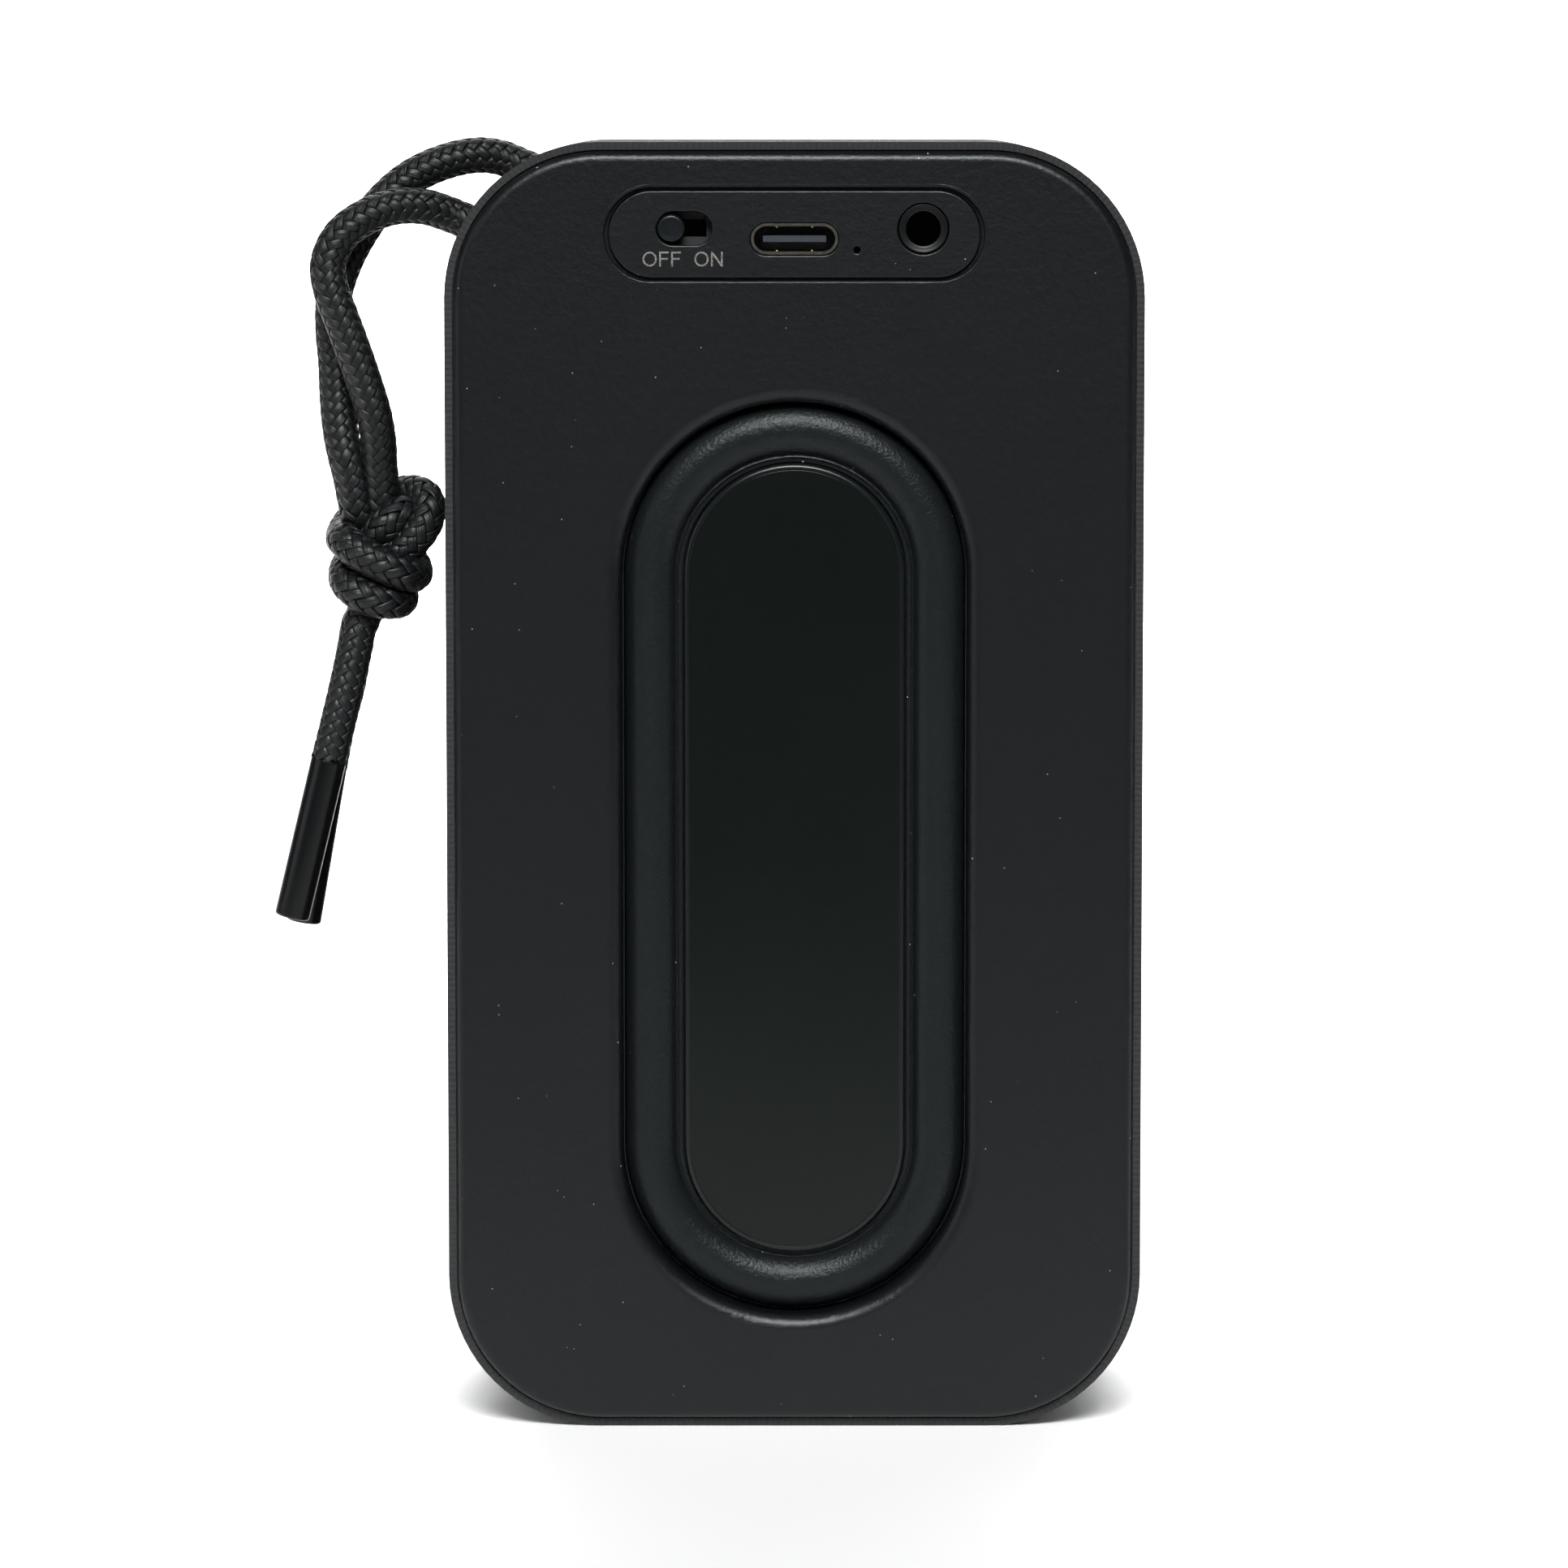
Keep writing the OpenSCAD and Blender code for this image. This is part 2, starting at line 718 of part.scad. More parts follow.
module at_radiator(y) {
    toward_rear(y) translate([0, radiator_z, 0]) children();
}

module radiator_outline(w, h, y0, y1) {
    slab(y0, y1) translate([0, radiator_z]) racetrack(w, h);
}

module rear_cover() {
    color("#1d1f21") difference() {
        union() {
            toward_rear(y_seat) translate([0, mid_z, 0]) {
                round_plate(cover_w, cover_h, cover_r, cover_t, cover_round);
            }
            slab(y_seat, y_seat + cover_lip_h) translate([0, mid_z]) difference() {
                round_rect(in_w - 2 * lip_fit, in_h - 2 * lip_fit, in_r - lip_fit);
                inset = lip_fit + cover_lip_t;
                round_rect(in_w - 2 * inset, in_h - 2 * inset, in_r - inset);
            }
            radiator_outline(opening_w + 2 * boss_ring, opening_h + 2 * boss_ring,
                y_seat - root_lap, y_frame);
            for (p = boss_places) {
                rod(p[0], p[1], boss_d - boss_cut, y_seat - root_lap, y_boss_split - boss_fit);
            }
        }
        radiator_outline(opening_w, opening_h, y_rear - over, y_frame + over);
        at_radiator(y_rear + lip_round) racetrack_sweep(opening_w, opening_h) difference() {
            translate([-over, 0]) square([lip_round + over, lip_round + over]);
            translate([lip_round, 0]) circle(lip_round);
        }
        slab(y_rear - over, y_panel) translate([0, panel_z]) {
            racetrack(panel_w + 2 * panel_gap, panel_h + 2 * panel_gap);
        }
        slab(y_rear, y_seat + over) translate([0, panel_z]) {
            racetrack(panel_w - 2 * panel_ledge, panel_h - 2 * panel_ledge);
        }
        for (p = boss_places) {
            rod(p[0], p[1], case_screw_d + 2 * shank_fit, y_seat + over, y_boss_split + over);
        }
    }
}

module cover_seal() {
    color("#2a2a2a") slab(y_seat, y_seat + seal_t) translate([0, mid_z]) difference() {
        round_rect(case_w - 2 * seal_inset, case_h - 2 * seal_inset, case_r - seal_inset);
        round_rect(in_w + 2 * seal_inset, in_h + 2 * seal_inset, in_r + seal_inset);
    }
}

module case_screws() {
    y_head = y_boss_split + boss_floor;
    color("#9a9c9f") for (p = boss_places) {
        rod(p[0], p[1], case_screw_d, y_head - case_screw_l, y_head);
        difference() {
            rod(p[0], p[1], case_head_d, y_head, y_head + case_head_t);
            for (size = [[cross_w, cross_t], [cross_t, cross_w]]) {
                box_at(p[0], p[1], size[0], size[1], y_head + case_head_t - cross_deep,
                    y_head + case_head_t + over);
            }
        }
    }
}

// ---- Passive radiator ----

module radiator_frame() {
    color("#2c2e30") difference() {
        radiator_outline(opening_w + 2 * boss_ring, opening_h + 2 * boss_ring,
            y_frame, y_frame + frame_t);
        radiator_outline(roll_out_w - 2 * frame_land, roll_out_h - 2 * frame_land,
            y_frame - over, y_frame + frame_t + over);
    }
}

// Half roll of rubber between the frame and the plate, swept round the racetrack
module radiator_surround() {
    mid = -roll_w / 2;
    color("#161718") at_radiator(y_frame) racetrack_sweep(roll_out_w, roll_out_h) {
        square([roll_gap - flange_fit, rubber_t]);
        translate([-roll_w - flange_in, 0]) square([flange_in, rubber_t]);
        translate([mid, rubber_t]) intersection() {
            difference() {
                circle(roll_w / 2);
                circle(roll_w / 2 - rubber_t);
            }
            translate([-roll_w, 0]) square([2 * roll_w, roll_w]);
        }
        translate([-rubber_t, 0]) square([rubber_t, rubber_t]);
        translate([-roll_w, 0]) square([rubber_t, rubber_t]);
    }
}

module radiator_plate() {
    b = plate_bevel;
    color("#0e0f10") at_radiator(y_flange) {
        linear_extrude(plate_t - b) racetrack(plate_w, plate_h);
        linear_extrude(plate_t) racetrack(plate_w - 2 * b, plate_h - 2 * b);
        racetrack_sweep(plate_w - 2 * b, plate_h - 2 * b) {
            polygon([[-b, plate_t - 2 * b], [b, plate_t - 2 * b], [b, plate_t - b], [0, plate_t],
                [-b, plate_t]]);
        }
    }
}

module radiator_weight() {
    color("#8d9093") radiator_outline(plate_w - 2 * weight_edge, plate_h - 2 * weight_edge,
        y_flange, y_frame + weight_t);
}

// ---- Ports ----

module port_panel() {
    color("#1d1f21") difference() {
        slab(y_rear, y_panel) translate([0, panel_z]) racetrack(panel_w, panel_h);
        slab(y_rear - over, y_panel + over) {
            translate([switch_x, switch_z]) racetrack(slot_w, slot_h);
            translate([0, usb_z]) racetrack(usb_w + 2 * usb_fit, usb_h + 2 * usb_fit);
        }
        rod(mic_x, mic_z, mic_hole_d, y_rear - over, y_panel + over);
        rod(aux_x, aux_z, aux_neck_d + 2 * aux_fit, y_rear - over, y_panel + over);
    }
}

module usb_shell() {
    y0 = y_rear + usb_set_back;
    color("#8f8f8a") difference() {
        slab(y0, y0 + usb_l) translate([0, usb_z]) racetrack(usb_w, usb_h);
        slab(y0 - over, y0 + usb_l - usb_back_t) translate([0, usb_z]) {
            racetrack(usb_w - 2 * usb_wall, usb_h - 2 * usb_wall);
        }
    }
}

module usb_tongue() {
    y0 = y_rear + usb_set_back;
    y1 = y0 + usb_l - usb_back_t;
    color("#3b3f45") union() {
        box_at(0, usb_z, tongue_w, tongue_t, y0 + tongue_set_back, y1);
        slab(y1 - tongue_base, y1) translate([0, usb_z]) {
            inset = usb_wall + tongue_fit;
            racetrack(usb_w - 2 * inset, usb_h - 2 * inset);
        }
    }
}

module aux_jack() {
    y0 = y_rear + aux_set_back;
    body_h2 = 2 * (aux_z - board_top);
    color("#141415") difference() {
        union() {
            rod(aux_x, aux_z, aux_neck_d, y0, y_board);
            box_at(aux_x, aux_z, aux_body_w, body_h2, y_board, y0 + aux_bore_l + aux_end);
        }
        rod(aux_x, aux_z, aux_bore_d, y0 - over, y0 + aux_bore_l);
    }
}

module switch_body() {
    run = knob_travel + carriage_w + 2 * slide_fit;
    high = 2 * (switch_z - board_top);
    color("#a9abad") difference() {
        box_at(switch_x, switch_z, run + 2 * switch_wall, high, y_board, y_board + switch_l);
        box_at(switch_x, switch_z, run, carriage_h + 2 * slide_fit,
            y_board + switch_wall, y_board + switch_l - switch_wall);
        box_at(switch_x, switch_z, knob_travel + stem_w + 2 * slide_fit, stem_w + 2 * slide_fit,
            y_board - over, y_board + switch_wall + over);
    }
}

module switch_knob() {
    y0 = y_rear + knob_set_back;
    y_mid = y_board - slide_fit;
    y_car = y_board + switch_wall + slide_fit;
    color("#202225") union() {
        translate([knob_x, y0, switch_z]) rotate([-90, 0, 0]) {
            cylinder(d1 = knob_d - 2 * knob_bevel, d2 = knob_d, h = knob_bevel);
        }
        rod(knob_x, switch_z, knob_d, y0 + knob_bevel, y_mid);
        box_at(knob_x, switch_z, stem_w, stem_w, y_mid, y_car);
        box_at(knob_x, switch_z, carriage_w, carriage_h, y_car, y_car + carriage_l);
    }
}

module microphone() {
    color("#c9b27a") translate([mic_x - mic_box[0] / 2, y_panel + mic_gap, board_top]) {
        cube(mic_box);
    }
}

module port_board() {
    color("#173a2a") translate([board_x0, y_board, board_top - board_t]) {
        cube([board_x1 - board_x0, y_board_end - y_board, board_t]);
    }
}

// ---- Boards ----

module board_link() {
    color("#e6e0d0") box_at(0, board_top - board_t - link_t / 2, link_w, link_t,
        y_board_end - link_lap, y_main_b);
}

module main_board() {
    color("#173a2a") difference() {
        slab(y_main_b, y_main_f) translate([0, main_z]) square([main_w, main_h], center = true);
        for (p = main_posts) {
            rod(p[0], p[1], board_screw_d + 2 * screw_hole_fit, y_main_b - over, y_main_f + over);
        }
    }
}

// Part on the rear side of the main board, from its width, height and thickness
module on_board(x, z, size) {
    box_at(x, z, size[0], size[1], y_main_b - size[2], y_main_b);
}

module board_chips() {
    color("#1a1a1a") {
        on_board(chip_big_x, chip_z, chip_big);
        on_board(chip_small_x, chip_z, chip_small);
        for (x = can_cap_x) rod(x, chip_z + root_lap, can_cap_d, y_main_b - can_cap_t, y_main_b);
        for (x = crystal_x) on_board(x, main_z + post_z, crystal);
    }
}

module radio_can() {
    color("#b5b7b9") on_board(0, main_z + radio[1], radio);
}

module board_screws() {
    color("#9a9c9f") for (p = main_posts) {
        rod(p[0], p[1], board_screw_d, y_main_b, y_baffle_f - post_floor - screw_hole_fit);
        rod(p[0], p[1], board_head_d, y_main_b - board_head_t, y_main_b);
    }
}

// ---- Driver ----

// Basket wall: its outer and inner radius at a depth
function wall_r(y) = basket_foot_r + (basket_r - basket_foot_r) * (y - y_top_plate) / drv_depth;
function wall_in_r(y) = basket_foot_r - basket_t
    + (basket_r - basket_foot_r) * (y - y_top_plate - basket_t) / (drv_depth - basket_t);

module driver_basket() {
    foot_in = former_r + coil_gap + magnet_step + over;
    color("#3a3d40") difference() {
        union() {
            driver_ring() polygon([[foot_in, y_top_plate], [basket_foot_r, y_top_plate],
                [basket_r, y_drv], [driver_d / 2, y_drv], [driver_d / 2, y_drv + drv_flange_t],
                [basket_r - basket_t, y_drv + drv_flange_t], [basket_r - basket_t, y_drv],
                [basket_foot_r - basket_t, y_top_plate + basket_t],
                [foot_in, y_top_plate + basket_t]]);
            difference() {
                for (a = [45:90:315]) {
                    rod(ear_place * cos(a), driver_z + ear_place * sin(a), 2 * ear_r,
                        y_drv, y_drv + drv_flange_t);
                }
                rod(0, driver_z, driver_d - 2 * root_lap, y_drv - over, y_drv + drv_flange_t + over);
            }
        }
        for (a = [45:90:315]) {
            rod(ear_place * cos(a), driver_z + ear_place * sin(a),
                drv_screw_d + 2 * screw_hole_fit, y_drv - over, y_drv + drv_flange_t + over);
        }
        for (a = [0:60:300]) on_driver() rotate(a) {
            translate([basket_foot_r + root_lap, -basket_window[1] / 2, y_top_plate + window_up]) {
                cube(basket_window);
            }
        }
    }
}

module driver_gasket() {
    color("#2a2a2a") driver_ring() translate([basket_r + gasket_lip, y_baffle_f]) {
        square([driver_d / 2 - basket_r - gasket_lip, gasket_t]);
    }
}

module driver_surround() {
    y0 = y_drv + drv_flange_t;
    mid = cone_d / 2 + drv_roll_gap + drv_roll_w / 2;
    rim = drv_roll_w / 2 - drv_roll_t / 2;
    color("#161718") driver_ring() {
        translate([mid + rim, y0]) square([drv_land_out, drv_roll_t]);
        translate([mid - rim - drv_land_out, y0]) square([drv_land_out, drv_roll_t]);
        translate([mid, y0 + drv_roll_t / 2]) intersection() {
            difference() {
                circle(drv_roll_w / 2 + drv_roll_t / 2);
                circle(drv_roll_w / 2 - drv_roll_t / 2);
            }
            translate([-drv_roll_w, 0]) square([2 * drv_roll_w, drv_roll_w]);
        }
    }
}

module driver_cone() {
    y0 = y_drv + drv_flange_t;
    neck_r = former_r + cone_glue;
    color("#111213") driver_ring() polygon([[neck_r, y_neck - cone_t], [cone_d / 2, y0 - cone_t],
        [cone_d / 2, y0], [cone_d / 2 - cone_seat, y0], [neck_r, y_neck]]);
}

module dust_cap() {
    y0 = y_neck + cap_up;
    drop = sqrt(cap_ball_r * cap_ball_r - cap_r * cap_r);
    color("#0f1011") driver_ring() intersection() {
        translate([0, y0 - drop]) difference() {
            circle(cap_ball_r);
            circle(cap_ball_r - cap_t);
        }
        translate([0, y0]) square([cap_r, cap_ball_r]);
    }
}

module voice_coil() {
    color("#b0703a") driver_ring() {
        translate([former_r - former_t, y_top_plate - former_drop]) square([former_t, former_l]);
        translate([former_r, y_top_plate - winding_drop]) square([winding_t, winding_l]);
    }
}

// Corrugated cloth ring that centres the coil
module driver_spider() {
    r0 = former_r + cone_glue;
    y0 = y_top_plate + spider_up;
    r1 = wall_in_r(y0) - cone_glue;
    n = 6;
    step = (r1 - r0) / n;
    color("#c9a24a") driver_ring() polygon(concat(
        [for (i = [0:n]) [r0 + i * step, y0 + spider_wave * (i % 2)]],
        [for (i = [n:-1:0]) [r0 + i * step, y0 + spider_t + spider_wave * (i % 2)]]));
}

module top_plate() {
    r0 = former_r + coil_gap;
    color("#7c8083") driver_ring() translate([r0, y_magnet]) {
        square([basket_foot_r - plate_step - r0, iron_t]);
    }
}

module ring_magnet() {
    r0 = former_r + coil_gap + magnet_step;
    color("#4a4b4d") driver_ring() translate([r0, y_yoke]) {
        square([magnet_d / 2 - r0, magnet_t]);
    }
}

module yoke() {
    color("#7c8083") driver_ring() translate([0, y_yoke - iron_t]) {
        square([magnet_d / 2 - yoke_step, iron_t]);
        square([former_r - former_t - pole_gap, magnet_t + 2 * iron_t]);
    }
}

module driver_terminals() {
    y0 = y_top_plate + tab_up;
    z0 = driver_z + wall_r(y0 + tab_t) + tab_out;
    color("#d0a860") difference() {
        box_at(0, z0, tab_w, tab_h, y0, y0 + tab_t);
        for (x = [-lead_x, lead_x]) rod(x, z0 + tab_t, tab_hole_d, y0 - over, y0 + tab_t + over);
    }
}

module driver_screws() {
    y0 = y_drv + drv_flange_t;
    color("#9a9c9f") for (a = [45:90:315]) {
        x = ear_place * cos(a);
        z = driver_z + ear_place * sin(a);
        rod(x, z, drv_screw_d, y_baffle_b - root_lap, y0);
        rod(x, z, drv_head_d, y0, y0 + drv_head_t);
    }
}

// ---- Battery and leads ----

module battery_cell() {
    color("#5b6b7a") translate([0, (y_cell_b + y_cell_f) / 2, cell_z - cell_h / 2]) {
        linear_extrude(cell_h) round_rect(cell_w, cell_t, cell_edge_r);
    }
}

module battery_tape() {
    color("#e8e8e4") box_at(0, cell_z, cell_w - 2 * tape_edge[0], cell_h - 2 * tape_edge[1],
        y_cell_f, y_baffle_b);
}

// Leads loop up from the cell to the main board's rear side
module battery_leads() {
    y0 = y_cell_f - cell_t * 0.4;
    z0 = cell_top + lead_d / 12;
    z1 = cell_top + lead_drop + 2.4 * lead_d;
    color("#b03028") for (x = cell_lead_x) {
        tube([[x, y0, z0], [x, y0, z0 + lead_d], [x, y0 - lead_d / 3, z0 + lead_drop],
            [x, y0 - lead_d / 3, z1 - lead_d], [x, y_main_b - 1.3 * lead_d, z1 - lead_d / 6],
            [x, y_main_b - lead_d / 6, z1]], lead_d, 8, [1, 0, 0]);
    }
}

// Leads run from the driver's tabs behind the cell and up to the main board
module speaker_leads() {
    y0 = y_top_plate + tab_up - lead_d / 6;
    z0 = driver_z + wall_r(y_top_plate + tab_up + tab_t) + tab_out + tab_t;
    y1 = y_cell_b - lead_d;
    z1 = cell_z - cell_h / 2;
    z2 = cell_top + lead_drop + 0.7 * lead_d;
    color("#303236") for (x = [-lead_x, lead_x]) {
        tube([[x, y0, z0], [x, y0 - lead_d, z0 + lead_d / 3], [x, y1, z0 + 3 * lead_d],
            [x, y1 - lead_d / 6, z1 + 3 * lead_d], [x, y1 - lead_d / 6, cell_z],
            [x, y1 - lead_d / 6, cell_top - 2 * lead_d], [x, y1 + lead_d / 2, cell_top + lead_d],
            [x, y_main_b - 2.5 * lead_d, z2 - lead_d / 6], [x, y_main_b - lead_d / 12, z2]],
            lead_d, 8, [1, 0, 0]);
    }
}

// ---- Cord ----

module anchor_pin() {
    color("#b4b6b8") rod(bight_mid[0], bight_mid[2], pin_d, pocket_y[0] - pin_seat,
        pocket_y[1] + pin_seat);
}

module cord_eyelets() {
    color("#242628") intersection() {
        difference() {
            exit_bars(eyelet_d, pocket_open + eyelet_fit, eyelet_reach);
            exit_bars(cord_d + 2 * eyelet_fit, pocket_open - over, eyelet_reach + over);
        }
        body_form(0, y_rim, y_front, front_round);
    }
}

function bight_point(a) = bight_mid + [0, (y_upper - y_lower) * a / 180, 0]
    - bight_r * (cos(a) * side_dir + sin(a) * out_dir);

// The middle of the cord, looped round the pin inside the corner
module cord_bight() {
    color("#17181a") tube(concat(
        [lower_exit, lower_exit - 0.4 * lower_in * out_dir],
        [for (a = [0:15:180]) bight_point(a)],
        [upper_exit - 0.4 * upper_in * out_dir, upper_exit]), cord_d, cord_sides);
}

module cord_upper() {
    color("#17181a") tube(upper_route, cord_d, cord_sides);
}

module cord_lower() {
    color("#17181a") tube(lower_route, cord_d, cord_sides);
}

// Outer shape of the doubled overhand knot, from three lumps: two ends and a radius each
module cord_knot() {
    color("#17181a") for (lump = knot_lumps) {
        hull() for (p = [lump[0], lump[1]], dy = [-knot_half, knot_half]) {
            translate(knot_mid + p + [0, dy, 0]) sphere(lump[2], $fn = 24);
        }
    }
}

module tail_front() {
    color("#17181a") tube(front_route, cord_d, cord_sides);
}

module tail_rear() {
    color("#17181a") tube(rear_route, cord_d, cord_sides);
}

module aglet_front() {
    color("#0c0c0d") bar(front_aglet[0], front_aglet[1], aglet_d);
}

module aglet_rear() {
    color("#0c0c0d") bar(rear_aglet[0], rear_aglet[1], aglet_d);
}

fabric_wrap();
housing();
front_grille();
control_panel();
key(key_places[2]);  // key_minus
key(key_places[1]);  // key_play
key(key_places[0]);  // key_plus
key_mat();
rear_cover();
cover_seal();
case_screws();
radiator_frame();
radiator_surround();
radiator_plate();
radiator_weight();
port_panel();
usb_shell();
usb_tongue();
aux_jack();
switch_body();
switch_knob();
microphone();
port_board();
board_link();
main_board();
board_chips();
radio_can();
board_screws();
tact_switches();
driver_basket();
driver_gasket();
driver_surround();
driver_cone();
dust_cap();
voice_coil();
driver_spider();
top_plate();
ring_magnet();
yoke();
driver_terminals();
driver_screws();
speaker_leads();
battery_cell();
battery_tape();
battery_leads();
anchor_pin();
cord_eyelets();
cord_bight();
cord_upper();
cord_lower();
cord_knot();
tail_front();
tail_rear();
aglet_front();
aglet_rear();
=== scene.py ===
import math

import bmesh
import bpy
import numpy as np
from mathutils import Matrix, Vector


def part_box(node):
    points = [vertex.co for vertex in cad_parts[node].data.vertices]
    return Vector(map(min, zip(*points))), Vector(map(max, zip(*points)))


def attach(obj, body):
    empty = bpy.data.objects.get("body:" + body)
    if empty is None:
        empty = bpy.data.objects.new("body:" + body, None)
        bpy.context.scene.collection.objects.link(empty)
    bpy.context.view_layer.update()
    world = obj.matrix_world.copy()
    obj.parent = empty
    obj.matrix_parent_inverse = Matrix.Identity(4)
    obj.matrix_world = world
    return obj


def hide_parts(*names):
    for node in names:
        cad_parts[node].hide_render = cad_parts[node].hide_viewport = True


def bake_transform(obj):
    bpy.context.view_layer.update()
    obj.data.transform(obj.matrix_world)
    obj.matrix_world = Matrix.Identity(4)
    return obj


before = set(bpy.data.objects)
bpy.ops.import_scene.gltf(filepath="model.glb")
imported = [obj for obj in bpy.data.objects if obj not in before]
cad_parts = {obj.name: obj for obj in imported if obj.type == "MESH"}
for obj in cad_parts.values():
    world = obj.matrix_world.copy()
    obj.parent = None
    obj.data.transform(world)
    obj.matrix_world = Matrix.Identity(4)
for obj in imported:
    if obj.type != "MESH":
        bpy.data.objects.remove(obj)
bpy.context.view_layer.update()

MM = 0.001

# ---- Camera ----
# A long lens a little above the speaker's top, looking slightly down on its rear cover.
scene = bpy.context.scene
scene.view_settings.view_transform = "Standard"


def in_scene(name, data):
    """Makes an object of a mesh, curve, light or camera and puts it in the scene."""
    made = bpy.data.objects.new(name, data)
    scene.collection.objects.link(made)
    return made


camera = in_scene("camera", bpy.data.cameras.new("camera"))
scene.camera = camera
camera.data.sensor_width = 36
camera.data.lens = 154
camera.data.shift_x = -0.0067
camera.data.clip_start, camera.data.clip_end = 0.01, 20
camera.location = (0, -708.8 * MM, 139.3 * MM)
camera.rotation_euler = (math.radians(90 - 5.95), 0, 0)

# ---- Braided cord ----
# One polyester cord, doubled over a pin in the upper corner. Both strands hang from two
# eyelets and are tied together in one overhand knot, and each end is held in an aglet.
# The sheath is braided on 16 carriers, eight each way, and each yarn runs over two, under two.
BRAID_LAY = 10 * MM  # the length in which a yarn goes once round
CARRIERS = 16
FLOAT_STEEPNESS = 4  # how squarely a yarn steps up and down at the ends of its floats
KNOT_MIDDLE = np.array([-42.95, -9, 91.15])  # mm
ROPE_STEP = 1.0  # mm between the points of a strand's line
ROPE_PACKED = 3.2  # mm between two strands' lines where the knot squeezes them
ROPE_SIDE = 1.85  # mm from a strand's line to its edge in the knot's outline
KNOT_TOP, KNOT_BOTTOM = 8.5, -8  # mm above and below the knot's middle
TURNS_TOP, TURNS_BOTTOM = 5.55, -5.35  # mm, how high and low the knot's turns go
GUIDE_PULL, EVEN_OUT, STIFFNESS, PUSH_APART = 0.25, 0.06, 0.25, 0.5  # share moved each round

# Middle lines outside the knot, in mm as in the part's source
upper_strand = [(-26.67, -3, 130.09), (-28.71, -3, 130.92), (-30.56, -3, 131.67),
    (-33, -3.6, 132), (-36.3, -4.2, 131.4), (-39.9, -5, 129.8), (-42.8, -5.6, 127.4),
    (-45.2, -6, 124.2), (-47, -6.4, 120.8), (-48.1, -6.8, 117.2), (-48.2, -7, 114),
    (-47.9, -7.5, 110.5), (-47.7, -8, 106.2), (-47.27, -8.6, 102.6), (-46.45, -9, 99)]
lower_strand = [(-32.02, -8, 124.3), (-34.06, -8, 125.13), (-35.91, -8, 125.88),
    (-38.5, -9, 126.7), (-41.5, -9.8, 126.7), (-44.7, -10.6, 125.6), (-47.2, -11, 123.6),
    (-48.4, -11.2, 120.8), (-48.1, -11.4, 118.2), (-47.2, -11.4, 115.7), (-46, -11.3, 112.4),
    (-44.8, -11, 108.8), (-43.7, -10.6, 104.9), (-43.3, -9.8, 101.5)]
front_tail = [(-45.3, -10.7, 83.6), (-45.9, -11.2, 80.7), (-46.7, -11.8, 77),
    (-47.6, -12.1, 73.2), (-48.6, -12.2, 69.3)]
rear_tail = [(-45.6, -6.8, 83.4), (-46.2, -7.1, 80.4), (-46.9, -7.5, 76.6), (-47.9, -7.8, 72.8),
    (-48.8, -7.9, 68.3)]

# Where each strand passes in the knot: right, up, away from the viewer, and how firmly it is
# held there. It goes down, turns right, crosses the front leftwards, passes behind, comes over
# the top right and goes down through its own turn.
left_in_knot = [(-3.2, 6.45, 0.3, 1), (-2.7, 4.1, 0.6, 1), (-2.1, 2.2, 1.2, 0.6),
    (-1.5, 0.2, 2.4, 0.05), (-1, -1.8, 3.2, 0.05), (-0.3, -3.8, 3, 0.05), (0.9, -5, 1.8, 0.2),
    (1.9, -5.2, -0.4, 1), (1.4, -5.4, -2.8, 1), (0, -5.4, -3.9, 1), (-1.5, -4.95, -4.1, 1),
    (-3, -4.1, -3.3, 1), (-3.9, -3.2, -1.3, 1), (-3.9, -2.2, 1.2, 0.1), (-2.6, -0.8, 4.4, 0.05),
    (-0.4, 0.9, 6.2, 0.05), (1.8, 2.6, 5.2, 0.05), (3.5, 3.9, 3.2, 0.05), (3.7, 4.4, 1.2, 0.1),
    (2.7, 4.5, -0.6, 1), (1.1, 3.35, -1.9, 1), (0.2, 2.4, -1.9, 1), (-0.5, 1.4, -1.6, 0.8),
    (-0.9, -0.4, -0.9, 0.05), (-1, -2.4, -0.2, 0.05), (-1.3, -4.6, 0.8, 0.05), (-2, -7, 1.8, 0.6)]
right_in_knot = [(-0.44, 6.45, 0.3, 1), (-0.67, 4.1, 0.6, 1), (-0.3, 2.2, 1.4, 0.3),
    (0.4, 0.4, 2.6, 0.05), (1.6, -1, 2.8, 0.05), (3, -1.8, 1.6, 0.2), (3.5, -2.3, -0.6, 1),
    (2.7, -2.4, -3.2, 1), (0.8, -1.8, -4.3, 1), (-1.5, -0.75, -4.2, 1), (-3.1, 0.3, -3.3, 1),
    (-3.9, 1.2, -1.3, 1), (-3.8, 2.3, 1.2, 0.4), (-3, 3.6, 3.4, 0.05), (-1.2, 4.8, 4.4, 0.05),
    (0.8, 5.5, 3.4, 0.1), (2.4, 5.7, 1.6, 0.8), (3.6, 5.5, 0.4, 1), (4.4, 4.6, -0.6, 1),
    (4.5, 3.1, -1.4, 1), (3.9, 1.8, -1.9, 1), (3, 0.5, -1.8, 0.8), (1.9, -0.9, -1.4, 0.05),
    (0.8, -2.6, -1, 0.05), (-0.6, -5, -1.2, 0.05), (-2, -7, -1.4, 1)]
